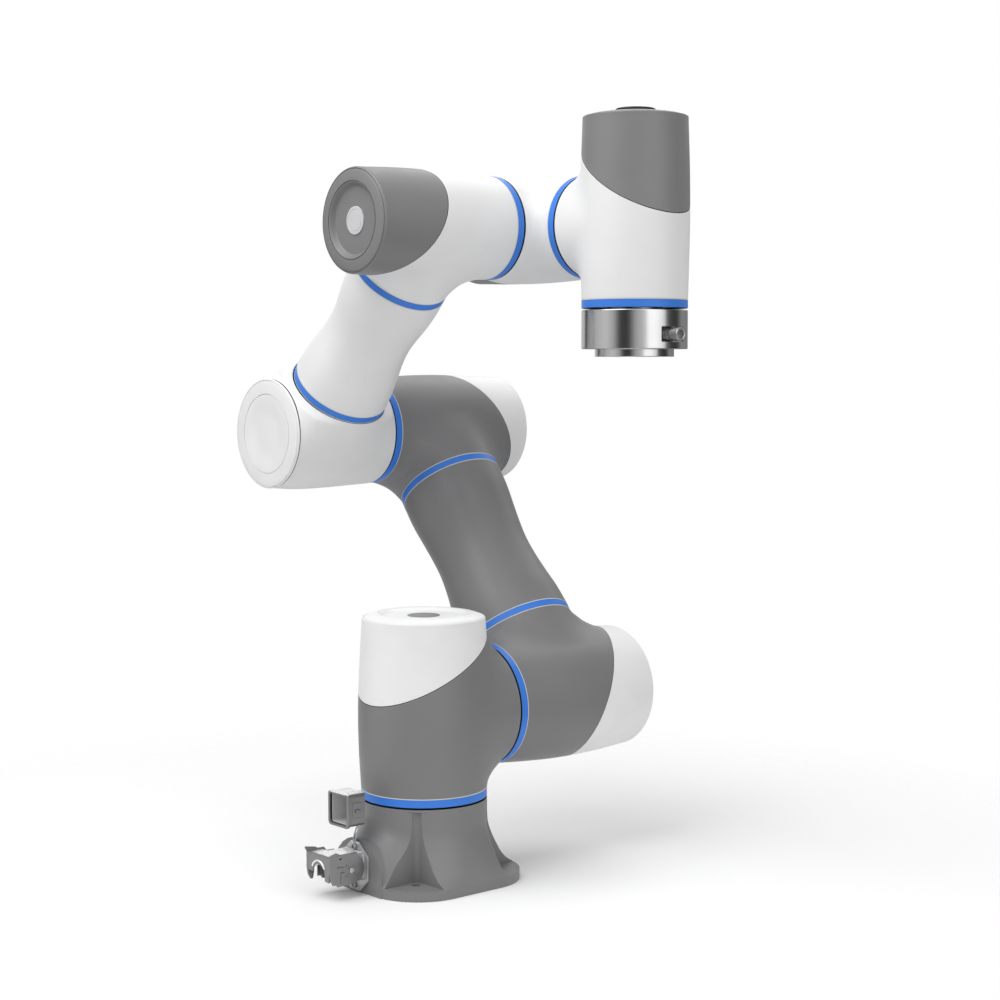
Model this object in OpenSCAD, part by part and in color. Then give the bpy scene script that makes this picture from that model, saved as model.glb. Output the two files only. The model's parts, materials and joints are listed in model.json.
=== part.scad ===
// Six-axis collaborative robot arm on a flanged pedestal, in millimetres.
// +Z is up and the origin is the centre of the mounting face, on the joint 1 axis.
// Joints 2, 3 and 4 turn about axes along +Y. The cable connector faces -Y.
// Every joint is a barrel on the joint's axis with a branch square to it. The barrel holds the
// drive, and the branch carries the hub that the neighbouring drive turns.

/* [Arm] */
// Height of the joint 2 axis above the mounting face
shoulder_height = 134.3; // [134:0.1:150]
// Distance from the joint 2 axis to the joint 3 axis
upper_arm_length = 274; // [250:1:320]
// Distance from the joint 3 axis to the joint 4 axis
forearm_length = 230; // [210:1:280]
// Lean of the upper arm backwards from vertical, in degrees
upper_arm_lean = 36.5; // [0:0.5:60]
// Lean of the forearm forwards from vertical, in degrees
forearm_lean = 42.5; // [0:0.5:60]
// Distance of the upper arm's plane from the joint 1 axis
upper_arm_offset = 132.1; // [132:0.1:140]
// Distance of the forearm's plane from the joint 1 axis
forearm_offset = 11.8; // [5:0.1:12]
// Distance of the wrist's plane from the joint 1 axis
wrist_offset = 128.3; // [128:0.1:140]
// Distance from the joint 4 axis to the joint 6 axis
wrist_reach = 116; // [116:0.1:125]
// Distance from the joint 5 axis down to the tool face
tool_drop = 105; // [105:0.1:110]

/* [Rings] */
// Width of the coloured band rings
ring_width = 7.2; // [6:0.1:8]
// Running gap between two links at a joint
joint_gap = 1.3; // [1:0.1:2]
// How deep a ring sits around its housing's neck
ring_depth = 3; // [2:0.1:3.5]

/* [Base] */
// Distance between opposite flats of the mounting flange
flange_width = 134; // [130:1:140]
// Largest radius of the flange, at its corners
flange_corner_radius = 77; // [75:0.5:82]
// Thickness of the mounting flange
flange_thickness = 8; // [7:0.5:9]
// Spacing of the mounting bolts, the same both ways
bolt_spacing = 80; // [78:0.5:82]
// Radius of the clearance hole for each M6 mounting bolt
bolt_hole_radius = 3.3; // [3.2:0.05:3.5]

/* [Tool flange] */
// Radius of the tool flange's body
tool_radius = 42.2; // [40:0.1:43]
// Radius of the centring boss that tools fit over
boss_radius = 31.5; // [31.5:0.5:31.5]
// Diameter of the tool bolt circle
tool_bolt_circle = 50; // [50:1:50]

/* [Hidden] */
$fn = 96;
dark = [0.43, 0.43, 0.44];
white = [0.88, 0.88, 0.88];
blue = [0.24, 0.45, 0.78];
steel = [0.62, 0.63, 0.65];
copper = [0.72, 0.45, 0.26];
black = [0.09, 0.09, 0.1];
green = [0.1, 0.33, 0.2];

far = 400;         // larger than any part, for half-space cuts
fit = 0.1;         // play of an inner part in its housing
half_ring = ring_width / 2;
seam = 0.25;       // half of the gap where a cover meets its housing
wall = 5;          // thickness of the end walls, except the elbow's thin cap
hub_height = 13;   // how far a hub reaches into the next drive
cable_hole = 11;   // radius of the cable way through a hub

// A housing is a list of its sizes:
// [0] radii along its barrel: at the ring, behind it, at the branch, towards the cap, at the rim
// [1] distance from the branch's axis back to the outer face of the barrel
// [2] distance from the branch's axis on to the cap's face
// [3] radius at the end of the branch, [4] length of the branch
// [5] radius of the cavity in the barrel, [6] radius of the cavity in the branch
// [7] where the cover's seam crosses the barrel's axis, [8] slope of the seam towards the branch
// [9] thickness of the cap's end wall
shoulder_size = [[50.7, 52.2, 52.9, 51.6, 49.6], 67.1, 80.7, 50, 60, 44, 42, 39.9, 0.55, wall];
joint_2_size = [[50.2, 52.5, 54.3, 53.9, 51.6], 70.8, 81, 49, 58.2, 44, 40, 38.1, 0.53, wall];
joint_3_size = [[45.7, 48.2, 49.2, 48.5, 47.2], 67.9, 84.5, 45.6, 56.8, 38, 40, 42, 0.53, wall];
elbow_size = [[46, 47.1, 48, 48, 46.4], 51.1, 52, 42.2, 50.3, 41, 34.5, 49, 0, 2.4];
joint_4_size = [[42, 42.7, 43.1, 42.8, 41.4], 65.4, 75.8, 40.8, 48.5, 36, 34.5, 37, 0.7, wall];
wrist_1_size = [[41.8, 43, 43.6, 43, 41.8], 65.7, 76, 42, 49.8, 36, 35, 35.5, 0.7, wall];
wrist_2_size = [[42.2, 42.8, 43.4, 43, 41.8], 66.8, 85.5, 41.6, 49, 36, 35, 34, 0.7, wall];

lower_ring_place = 61.8;     // ring centres along the tubes, from the tube's lower joint
upper_ring_place = upper_arm_length - 60.4;
forearm_lower_place = 53.9;
forearm_upper_place = forearm_length - 52.1;

lean_x = -sin(upper_arm_lean) * upper_arm_length;
elbow_height = shoulder_height + cos(upper_arm_lean) * upper_arm_length;
wrist_x = lean_x + sin(forearm_lean) * forearm_length;
wrist_height = elbow_height + cos(forearm_lean) * forearm_length;

// Places: each module puts its children in a frame whose +Z is the barrel's axis, from the
// joint towards the cap, and whose +X is the branch's direction.
module at_shoulder() { translate([0, 0, shoulder_height]) rotate([0, 0, 90]) children(); }
module at_joint_2() {
    translate([0, upper_arm_offset, shoulder_height])
        rotate([0, -90 - upper_arm_lean, 0]) rotate([-90, 0, 0]) children();
}
module at_joint_3() {
    translate([lean_x, upper_arm_offset, elbow_height])
        rotate([0, 90 - upper_arm_lean, 0]) rotate([-90, 0, 0]) children();
}
module at_elbow() {
    translate([lean_x, forearm_offset, elbow_height])
        rotate([0, forearm_lean - 90, 0]) rotate([90, 0, 0]) children();
}
module at_joint_4() {
    translate([wrist_x, forearm_offset, wrist_height])
        rotate([0, forearm_lean + 90, 0]) rotate([90, 0, 0]) children();
}
module at_wrist_1() {
    translate([wrist_x, wrist_offset, wrist_height]) rotate([90, 0, 0]) rotate([0, -90, 0]) children();
}
module at_wrist_2() {
    translate([wrist_x + wrist_reach, wrist_offset, wrist_height]) rotate([0, 0, 180]) children();
}
// These two put +Z along an arm tube, from its lower joint to its upper joint.
module along_upper_arm() {
    translate([0, upper_arm_offset, shoulder_height]) rotate([0, -upper_arm_lean, 0]) children();
}
module along_forearm() {
    translate([lean_x, forearm_offset, elbow_height]) rotate([0, forearm_lean, 0]) children();
}

// Ring-shaped solid standing on z = 0
module tube(outer, inner, height) {
    difference() {
        cylinder(r = outer, h = height);
        translate([0, 0, -1]) cylinder(r = inner, h = height + 2);
    }
}

// Housings

// Outer form of a barrel, closed at both ends, with a neck for its ring when it has one
module barrel(size, neck) {
    r = size[0];
    foot = -size[1];
    top = size[2];
    rim = 6;
    start = neck ? [[0, foot], [r[0] - ring_depth - fit, foot],
        [r[0] - ring_depth - fit, foot + ring_width], [r[0], foot + ring_width]]
        : [[0, foot], [r[0], foot]];
    middle = [[r[1], foot * 0.5], [r[2], 0], [r[3], top * 0.5], [r[4], top - rim]];
    round_rim = [for (a = [22.5 : 22.5 : 90]) [r[4] - rim + rim * cos(a), top - rim + rim * sin(a)]];
    rotate_extrude() polygon(concat(start, middle, round_rim, [[0, top]]));
}

// Outer form of a branch along +X, flaring slightly into the barrel
module branch(size) {
    end = size[3];
    length = size[4];
    rotate([0, 90, 0])
        rotate_extrude() polygon([[0, 0], [end + 1.1, 0], [end + 0.6, length * 0.7], [end, length], [0, length]]);
}

// Hollow barrel and branch in one. The branch's end is closed by the hub's plate when it has a hub.
module shell(size, neck, hub) {
    hub_plate = hub ? 7 : -1;
    difference() {
        union() {
            barrel(size, neck);
            branch(size);
        }
        translate([0, 0, -size[1] - 1]) cylinder(r = size[5], h = size[1] + size[2] + 1 - size[9]);
        rotate([0, 90, 0]) cylinder(r = size[6], h = size[4] - hub_plate);
        if (hub) rotate([0, 90, 0]) cylinder(r = cable_hole, h = size[4] + 1);
    }
}

// Region above a cover's sloping seam
module above_seam(size, shift) {
    translate([0, 0, size[7] + shift]) rotate([0, -atan(size[8]), 0])
        translate([-far / 2, -far / 2, 0]) cube([far, far, far]);
}

// Shell below the seam, with the hub that reaches into a drive of the given cavity radius
module housing(size, neck, hub, drive) {
    difference() {
        shell(size, neck, hub);
        above_seam(size, -seam);
    }
    if (hub) rotate([0, 90, 0]) translate([0, 0, size[4] - 1]) hub_tube(drive);
}

// The elbow has no drive of its own: its barrel ends in the hub that the joint 3 drive turns
module elbow_body() {
    housing(elbow_size, false, false, 0);
    translate([0, 0, -elbow_size[1]]) {
        tube(elbow_size[5] + 1, cable_hole, 7);
        translate([0, 0, 1]) mirror([0, 0, 1]) hub_tube(joint_3_size[5]);
    }
}

// Closed end of the shell, above the seam, with a shallow dish in its face
module cover(size, bore) {
    dish = 0.7 * size[0][4];
    difference() {
        intersection() {
            shell(size, true, false);
            above_seam(size, seam);
        }
        translate([0, 0, size[2] - 1.6]) cylinder(r = dish, h = 5);
        if (bore > 0) translate([0, 0, size[2] - wall - 1]) cylinder(r = bore, h = wall + 2);
    }
}

module badge(size, radius) {
    translate([0, 0, size[2] - 1.6]) cylinder(r = radius, h = 1);
}

// Output hub of a drive, starting 1 mm inside its link's end
module hub_tube(drive) {
    tube(hub_radius(drive), cable_hole, 1 + joint_gap + hub_height);
}
function hub_radius(drive) = 0.62 * drive;

module joint_ring(size) {
    color(blue) translate([0, 0, -size[1]])
        tube(size[0][0], size[0][0] - ring_depth, ring_width - 0.1);
}

// Drives. Each stands on the outer face of the barrel's ring, and its size is the cavity's radius.
module in_drive(size) { translate([0, 0, -size[1]]) children(); }

// Cross-roller bearing ring, and the flexible cup of the strain-wave gear with its fixing flange
module gear(drive) {
    cup = 0.6 * drive;
    color(steel) {
        translate([0, 0, 1]) tube(drive - fit, hub_radius(drive) + 0.5, 12);
        translate([0, 0, 16]) {
            tube(cup, cup - 1.2, 13);
            translate([0, 0, 13]) tube(drive - fit, cup - 3, 2.5);
        }
    }
}

// Laminated stator with twelve winding slots
module stator(drive) {
    inner = magnet_radius(drive) + 0.6;
    color(copper) translate([0, 0, 37]) difference() {
        tube(drive - fit, inner, 18);
        for (a = [0 : 30 : 330]) rotate([0, 0, a])
            translate([inner - 1, -2.5, -1]) cube([6.5, 5, 20]);
    }
}
function magnet_radius(drive) = 0.55 * drive;

// Hollow shaft with the wave generator, the magnet drum and the brake disc
module rotor(drive) {
    color(steel) {
        difference() {
            union() {
                translate([0, 0, 2]) cylinder(r = 9, h = 76);
                translate([0, 0, 17.5]) cylinder(r = 0.6 * drive - 1.8, h = 6);
                translate([0, 0, 38]) cylinder(r = magnet_radius(drive), h = 16);
                translate([0, 0, 60]) cylinder(r = 0.5 * drive, h = 2);
            }
            translate([0, 0, 1]) cylinder(r = 7, h = 80);
            translate([0, 0, 46]) tube(magnet_radius(drive) - 4, 11, 9);
            for (a = [0 : 60 : 300]) rotate([0, 0, a])
                translate([0.5 * drive - 5, 0, 59]) cylinder(r = 2.5, h = 4);
        }
    }
}

// Driver board on three posts that stand on the stator
module board(drive) {
    color(green) {
        translate([0, 0, 68]) tube(drive - 1.5, 12, 1.6);
        for (a = [30 : 120 : 270]) rotate([0, 0, a])
            translate([drive - 5, 0, 55]) cylinder(r = 2, h = 13.5);
        for (a = [90 : 120 : 330]) rotate([0, 0, a])
            translate([drive * 0.6, -4, 69]) cube([7, 8, 2.6]);
    }
}

// Base

base_top = shoulder_height - shoulder_size[1] - joint_gap;
boss_half = 31;
boss_centre = 11.5;
boss_face = flange_width / 2 + 0.5;
pocket_depth = 7.1;    // from the bolt's axis in to each wall of its pocket
pocket_radius = 4;     // of the pocket's inner corner

// Outline of the pedestal from its neck down to the flange, towards a corner
corner_flare = [[50.7, base_top], [50.8, 50], [51.6, 44], [53.1, 39], [54.9, 34], [57.1, 29],
    [59.7, 24], [62.4, 19], [66.2, 14.4], [70, 11.3], [flange_corner_radius, flange_thickness]];
// The same towards a flat side
flat_flare = [[52, base_top], [52, 48], [53, 40], [54.8, 33], [57.4, 25.5], [60.4, 19], [64, 13],
    [flange_width / 2, flange_thickness]];

// Prism along Y whose section is the flat flare on both sides
module flare_prism() {
    left = [for (p = flat_flare) [-p[0], p[1]]];
    right = [for (i = [len(flat_flare) - 1 : -1 : 0]) flat_flare[i]];
    rotate([90, 0, 0]) translate([0, 0, -far / 2]) linear_extrude(far) polygon(concat(left, right));
}

module pedestal() {
    intersection() {
        rotate_extrude() polygon(concat(corner_flare, [[0, flange_thickness], [0, base_top]]));
        flare_prism();
        rotate([0, 0, 90]) flare_prism();
    }
    intersection() {
        translate([-flange_width / 2, -flange_width / 2, 0])
            cube([flange_width, flange_width, flange_thickness + 0.5]);
        cylinder(r = flange_corner_radius, h = flange_thickness);
    }
}

// Arched boss that carries the cable connector
module connector_boss() {
    intersection() {
        translate([-boss_half, -boss_face, 0]) cube([2 * boss_half, boss_face - 20, 60]);
        union() {
            translate([0, -20, boss_centre]) rotate([90, 0, 0]) cylinder(r = boss_half + 0.5, h = far);
            translate([-far / 2, -far / 2, 0]) cube([far, far, boss_centre]);
        }
    }
}

// Pocket over one mounting bolt: a square notch with a round inner corner, open to the outside
module bolt_pocket() {
    near = bolt_spacing / 2 - pocket_depth;
    middle = near + pocket_radius;
    translate([0, 0, flange_thickness]) {
        translate([middle, -middle, 0]) cylinder(r = pocket_radius + 0.1, h = far);
        translate([near, -far, 0]) cube([far, far - middle, far]);
        translate([middle, -far, 0]) cube([far, far - near, far]);
    }
}

module base_casting() {
    color(dark) {
        difference() {
            union() {
                pedestal();
                connector_boss();
            }
            for (a = [0 : 90 : 270]) rotate([0, 0, a]) bolt_pocket();
            for (x = [-1, 1]) for (y = [-1, 1])
                translate([x * bolt_spacing / 2, y * bolt_spacing / 2, -1])
                    cylinder(r = bolt_hole_radius, h = flange_thickness + 2);
            translate([0, 0, -1]) cylinder(r = 40, h = base_top - 7);
            translate([0, 0, -1]) cylinder(r = cable_hole, h = far);
            translate([-10, -far / 2, plug_height - 9]) cube([20, far / 2 - 20, 18]);
        }
        translate([0, 0, base_top - 1]) hub_tube(shoulder_size[5]);
    }
}

// Cable connector

plug_height = 22.7;     // centre of the hood above the mounting face
plate_height = 20.9;    // centre of the flange plate
plate_thickness = 2.2;
hood_width = 27;
hood_height = 21.8;
hood_length = 20;
lever_reach = 36.3;     // from the hood's root out to the back of the lever's front plate
hood_wall = 2;
screw_rise = 15.2;      // screws above and below the plate's centre
screw_head = 2.3;       // radius of a screw's head
hood_root = -boss_face - plate_thickness;
pivot_y = hood_root - 14.8;
pivot_radius = 2;

module facing_out(y) { translate([0, y, 0]) rotate([90, 0, 0]) children(); }

module connector_shell() {
    w = 16.7;
    h = 19.5;
    color(steel) difference() {
        union() {
            facing_out(-boss_face) translate([0, plate_height, 0]) linear_extrude(plate_thickness)
                polygon([[-5, h], [5, h], [w, h - 11], [w, 9 - h], [7, -h], [-7, -h], [-w, 9 - h], [-w, h - 11]]);
            translate([-hood_width / 2, hood_root - hood_length, plug_height - hood_height / 2])
                cube([hood_width, hood_length + 1, hood_height]);
            for (s = [-1, 1]) translate([0, pivot_y, plug_height]) rotate([0, s * 90, 0])
                cylinder(r = pivot_radius, h = hood_width / 2 + 2.6);
        }
        translate([hood_wall - hood_width / 2, -boss_face - hood_length - 5,
            plug_height - hood_height / 2 + hood_wall])
            cube([hood_width - 2 * hood_wall, hood_length + 6, hood_height - 2 * hood_wall]);
        for (s = [-1, 1]) facing_out(-boss_face + 1) translate([0, plate_height + s * screw_rise, 0])
            cylinder(r = 1.7, h = 8);
    }
}

// Moulded contact block with two rows of contact holes
module connector_insert() {
    w = hood_width - 2 * hood_wall - 0.6;
    h = hood_height - 2 * hood_wall - 0.6;
    color(black) difference() {
        translate([-w / 2, hood_root - 17, plug_height - h / 2]) cube([w, 19, h]);
        for (x = [-2 : 2]) for (s = [-1, 1])
            facing_out(hood_root - 8) translate([x * 4, plug_height + s * 4, 0]) cylinder(r = 1.2, h = 12);
    }
}

module connector_screws() {
    color(steel) for (s = [-1, 1])
        translate([0, 0, plate_height + s * screw_rise]) difference() {
            union() {
                facing_out(-boss_face) cylinder(r = 1.5, h = plate_thickness + 1.5);
                facing_out(hood_root - 0.9) cylinder(r = screw_head, h = 1.8);
            }
            facing_out(hood_root - 1.6) cylinder(r = 1.5, h = 2, $fn = 6);
        }
}

// Cable from the connector, bending up into the joint 1 hub
module base_harness() {
    bend = 16;
    color(black) {
        facing_out(-bend) translate([0, plug_height, 0]) cylinder(r = 5, h = boss_face - bend);
        translate([0, -bend, plug_height + bend]) rotate([0, 90, 0])
            rotate_extrude(angle = 90) translate([bend, 0]) circle(r = 5);
        translate([0, 0, plug_height + bend]) cylinder(r = 5, h = base_top + 10 - plug_height - bend);
    }
}

// U-shaped bail on the hood's pivots, with two claws that hold a plug
module connector_lever() {
    side = hood_width / 2 + 0.6;
    sheet = 1.6;
    half = side + sheet;
    top = plug_height + hood_height / 2 + 1.8;
    front = hood_root - lever_reach;
    color(steel) difference() {
        union() {
            for (s = [0, 1]) mirror([s, 0, 0]) translate([side, front, plug_height - 4])
                cube([sheet, pivot_y + 4.5 - front, 8]);
            for (s = [0, 1]) mirror([s, 0, 0]) translate([side, front, plug_height - 4])
                cube([sheet, pivot_y - 4 - front, top + sheet - plug_height + 4]);
            translate([-half, front, top]) cube([2 * half, pivot_y - 4 - front, sheet]);
            translate([-half, front - sheet, 13.4]) cube([2 * half, sheet, 25]);
        }
        facing_out(front + 1) translate([0, 21, 0]) cylinder(r = 7.5, h = sheet + 2);
        translate([-7.4, front - sheet - 1, 0]) cube([14.8, sheet + 2, 21]);
        translate([-far / 2, pivot_y, plug_height]) rotate([0, 90, 0])
            cylinder(r = pivot_radius + 0.08, h = far);
    }
}

// Dust cap: a rectangular cup, open towards -Y, that hangs by its cord from the upper screw
cap_size = [26.3, 17.5, 28];
cap_centre_z = 68;
cap_back = boss_face + 0.8;
cap_wall = 1.8;
module dust_cap() {
    low = cap_centre_z - cap_size[2] / 2;
    color(steel) difference() {
        translate([-cap_size[0] / 2, -cap_back - cap_size[1], low]) cube(cap_size);
        translate([cap_wall - cap_size[0] / 2, -cap_back - cap_size[1] - cap_wall, low + cap_wall])
            cube(cap_size - [2 * cap_wall, 0, 2 * cap_wall]);
    }
}

module dust_cap_cord() {
    root = plate_height + screw_rise;
    start = 3;
    rise = cap_centre_z - cap_size[2] / 2 - root - start - 0.4;
    color(steel) translate([0, 0, root]) {
        facing_out(hood_root - 0.05) tube(screw_head, 1.7, 0.75);
        translate([-1, hood_root - 0.8, 1.9]) cube([2, 0.75, start - 1]);
        for (a = [-12, 12]) translate([0, hood_root - 0.85, 0]) rotate([0, a, 0])
            translate([0, 0, start]) cylinder(r = 0.7, h = rise / cos(a));
    }
}

// Arm tubes: waisted, with a spigot at each end that reaches through the ring into the housing
module arm_tube(low, high, radii, bore) {
    step = (high - low) / (len(radii) - 1);
    outline = [for (i = [0 : len(radii) - 1]) [radii[i], low + i * step]];
    spigot = 14;
    difference() {
        union() {
            rotate_extrude() polygon(concat(outline, [[0, high], [0, low]]));
            translate([0, 0, low - spigot]) cylinder(r = bore - fit, h = high - low + 2 * spigot);
        }
        translate([0, 0, low - spigot - 1]) cylinder(r = bore - 3.5, h = high - low + 2 * spigot + 2);
    }
}
module tube_ring(place, outer, inner) {
    color(blue) translate([0, 0, place - half_ring + 0.05]) tube(outer, inner, ring_width - 0.1);
}

upper_radii = [49.4, 47.6, 44.8, 42.4, 41.3, 42.2, 43.9, 45.6, 46.2];
forearm_radii = [41.7, 40.6, 38.6, 36.4, 35.5, 36.8, 39.1, 40.5, 41];
upper_bore = joint_2_size[6];
forearm_bore = joint_4_size[6];

// Tool side

tool_top = -wrist_2_size[1] - joint_gap;
tool_floor = 6;       // height of the centring boss
pocket_floor = 34;    // distance of the connector pocket's floor from the axis

module tool_flange() {
    body = tool_drop + tool_top - tool_floor;
    chamfer = 1;
    color(steel) {
        difference() {
            union() {
                translate([0, 0, tool_floor - tool_drop]) {
                    cylinder(r = tool_radius, h = body - chamfer);
                    translate([0, 0, body - chamfer])
                        cylinder(r1 = tool_radius, r2 = tool_radius - chamfer, h = chamfer);
                }
                translate([0, 0, -tool_drop]) cylinder(r = boss_radius, h = tool_floor + 1);
            }
            translate([0, 0, -tool_drop - 1]) cylinder(r = 15.75, h = 7.5);
            translate([0, 0, -tool_drop + 14]) cylinder(r = cable_hole, h = far);
            for (a = [45 : 90 : 315]) rotate([0, 0, a])
                translate([tool_bolt_circle / 2, 0, -tool_drop - 1]) cylinder(r = 2.5, h = 11);
            translate([tool_bolt_circle / 2, 0, -tool_drop - 1]) cylinder(r = 3, h = 7);
            translate([-pocket_floor - 20, -14, -93.6]) cube([20, 25, 12.1]);
            translate([-pocket_floor - 1, -5, -87.5]) rotate([0, 90, 0]) cylinder(r = 3, h = 28);
        }
        translate([0, 0, tool_top - 1]) hub_tube(wrist_2_size[5]);
    }
}

// Round threaded connector in the pocket
module tool_connector() {
    color(steel) translate([-pocket_floor, -5, -87.5]) rotate([0, -90, 0]) difference() {
        union() {
            cylinder(r = 5.6, h = 2.4, $fn = 6);
            cylinder(r = 4, h = 12.5);
            for (z = [4 : 1.4 : 8.2]) translate([0, 0, z]) cylinder(r1 = 4.6, r2 = 4.9, h = 0.8);
            translate([0, 0, 9.6]) cylinder(r = 5.2, h = 2.9);
            translate([0, 0, -8]) cylinder(r = 2.9, h = 9);
        }
        translate([0, 0, 8]) cylinder(r = 3.2, h = 6);
    }
}

button_radius = 17.5;
module wrist_2_button() {
    color(black) {
        translate([0, 0, wrist_2_size[2] - wall + 1]) cylinder(r = button_radius, h = wall + 3.4);
        translate([0, 0, wrist_2_size[2] - wall - 3]) cylinder(r = button_radius - 5, h = 5);
    }
}
module wrist_2_cover() {
    color(dark) {
        cover(wrist_2_size, button_radius + 0.3);
        translate([0, 0, wrist_2_size[2] - wall - 5]) difference() {
            tube(button_radius + 4, button_radius - 4.5, 5.2);
            translate([0, 0, 4]) cylinder(r = button_radius + 0.3, h = 2);
        }
    }
}

// Each node at its place

base_casting();
connector_shell();
connector_insert();
connector_screws();
base_harness();
connector_lever();
dust_cap();
dust_cap_cord();

at_shoulder() color(dark) housing(shoulder_size, true, true, joint_2_size[5]);  // shoulder_housing
at_shoulder() color(white) cover(shoulder_size, 0);  // shoulder_cover
at_shoulder() color(dark) badge(shoulder_size, 13);  // shoulder_badge
at_shoulder() joint_ring(shoulder_size);  // joint_1_ring
at_shoulder() in_drive(shoulder_size) stator(shoulder_size[5]);  // joint_1_stator
at_shoulder() in_drive(shoulder_size) gear(shoulder_size[5]);  // joint_1_gear
at_shoulder() in_drive(shoulder_size) board(shoulder_size[5]);  // joint_1_board
at_shoulder() in_drive(shoulder_size) rotor(shoulder_size[5]);  // joint_1_rotor

at_joint_2() color(dark) housing(joint_2_size, true, false, 0);  // joint_2_housing
at_joint_2() color(white) cover(joint_2_size, 0);  // joint_2_cover
at_joint_2() joint_ring(joint_2_size);  // joint_2_ring
along_upper_arm() color(dark) arm_tube(lower_ring_place + half_ring,  // upper_arm_tube
        upper_ring_place - half_ring, upper_radii, upper_bore);
along_upper_arm() tube_ring(lower_ring_place, 49, upper_bore);  // upper_arm_lower_ring
along_upper_arm() tube_ring(upper_ring_place, 45.8, upper_bore);  // upper_arm_upper_ring
at_joint_3() color(dark) housing(joint_3_size, true, false, 0);  // joint_3_housing
at_joint_3() color(white) cover(joint_3_size, 0);  // joint_3_cover
at_joint_3() joint_ring(joint_3_size);  // joint_3_ring
union() {  // upper_arm_stators
    at_joint_2() in_drive(joint_2_size) stator(joint_2_size[5]);
    at_joint_3() in_drive(joint_3_size) stator(joint_3_size[5]);
}
union() {  // upper_arm_gears
    at_joint_2() in_drive(joint_2_size) gear(joint_2_size[5]);
    at_joint_3() in_drive(joint_3_size) gear(joint_3_size[5]);
}
union() {  // upper_arm_boards
    at_joint_2() in_drive(joint_2_size) board(joint_2_size[5]);
    at_joint_3() in_drive(joint_3_size) board(joint_3_size[5]);
}
at_joint_2() in_drive(joint_2_size) rotor(joint_2_size[5]);  // joint_2_rotor
at_joint_3() in_drive(joint_3_size) rotor(joint_3_size[5]);  // joint_3_rotor

at_elbow() color(white) elbow_body();  // elbow_housing
at_elbow() color(white) cover(elbow_size, 0);  // elbow_cover
along_forearm() color(white) arm_tube(forearm_lower_place + half_ring,  // forearm_tube
        forearm_upper_place - half_ring, forearm_radii, forearm_bore);
along_forearm() tube_ring(forearm_lower_place, 41.6, forearm_bore);  // forearm_lower_ring
along_forearm() tube_ring(forearm_upper_place, 40.6, forearm_bore);  // forearm_upper_ring
at_joint_4() color(white) housing(joint_4_size, true, false, 0);  // joint_4_housing
at_joint_4() color(dark) cover(joint_4_size, 0);  // joint_4_cover
at_joint_4() color(white) badge(joint_4_size, 11);  // joint_4_badge
at_joint_4() joint_ring(joint_4_size);  // joint_4_ring
at_joint_4() in_drive(joint_4_size) stator(joint_4_size[5]);  // joint_4_stator
at_joint_4() in_drive(joint_4_size) gear(joint_4_size[5]);  // joint_4_gear
at_joint_4() in_drive(joint_4_size) board(joint_4_size[5]);  // joint_4_board
at_joint_4() in_drive(joint_4_size) rotor(joint_4_size[5]);  // joint_4_rotor

at_wrist_1() color(white) housing(wrist_1_size, true, true, joint_4_size[5]);  // wrist_1_housing
at_wrist_1() color(dark) cover(wrist_1_size, 0);  // wrist_1_cover
at_wrist_1() joint_ring(wrist_1_size);  // joint_5_ring
at_wrist_1() in_drive(wrist_1_size) stator(wrist_1_size[5]);  // joint_5_stator
at_wrist_1() in_drive(wrist_1_size) gear(wrist_1_size[5]);  // joint_5_gear
at_wrist_1() in_drive(wrist_1_size) board(wrist_1_size[5]);  // joint_5_board
at_wrist_1() in_drive(wrist_1_size) rotor(wrist_1_size[5]);  // joint_5_rotor

at_wrist_2() color(white) housing(wrist_2_size, true, true, wrist_1_size[5]);  // wrist_2_housing
at_wrist_2() wrist_2_cover();
at_wrist_2() wrist_2_button();
at_wrist_2() joint_ring(wrist_2_size);  // joint_6_ring
at_wrist_2() in_drive(wrist_2_size) stator(wrist_2_size[5]);  // joint_6_stator
at_wrist_2() in_drive(wrist_2_size) gear(wrist_2_size[5]);  // joint_6_gear
at_wrist_2() in_drive(wrist_2_size) board(wrist_2_size[5]);  // joint_6_board
at_wrist_2() in_drive(wrist_2_size) rotor(wrist_2_size[5]);  // joint_6_rotor
at_wrist_2() tool_flange();
at_wrist_2() tool_connector();
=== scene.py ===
import json
import math

import bpy
import numpy as np
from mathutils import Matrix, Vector
from mathutils.geometry import tessellate_polygon


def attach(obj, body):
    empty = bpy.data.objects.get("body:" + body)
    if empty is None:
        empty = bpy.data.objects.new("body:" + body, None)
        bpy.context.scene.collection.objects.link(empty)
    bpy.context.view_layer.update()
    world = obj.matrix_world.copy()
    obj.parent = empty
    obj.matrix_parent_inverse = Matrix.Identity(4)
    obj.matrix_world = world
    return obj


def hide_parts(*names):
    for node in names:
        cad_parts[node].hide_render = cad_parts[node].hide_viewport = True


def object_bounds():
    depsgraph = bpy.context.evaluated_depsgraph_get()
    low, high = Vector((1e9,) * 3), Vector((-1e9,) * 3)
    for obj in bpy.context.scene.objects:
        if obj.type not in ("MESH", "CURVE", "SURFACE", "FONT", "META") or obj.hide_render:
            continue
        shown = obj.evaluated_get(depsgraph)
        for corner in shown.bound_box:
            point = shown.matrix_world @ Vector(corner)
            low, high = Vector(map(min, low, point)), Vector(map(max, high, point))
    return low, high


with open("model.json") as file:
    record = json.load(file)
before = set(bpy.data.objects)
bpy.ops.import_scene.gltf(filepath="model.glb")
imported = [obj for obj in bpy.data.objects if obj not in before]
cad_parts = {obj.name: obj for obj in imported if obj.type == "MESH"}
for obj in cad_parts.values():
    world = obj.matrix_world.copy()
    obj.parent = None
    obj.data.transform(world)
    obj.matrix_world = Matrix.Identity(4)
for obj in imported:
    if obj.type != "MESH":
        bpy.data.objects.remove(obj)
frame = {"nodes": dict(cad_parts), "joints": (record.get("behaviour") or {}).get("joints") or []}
cad_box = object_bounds()
joints = {j["name"]: j for j in frame["joints"]}
MM = 0.001
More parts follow.
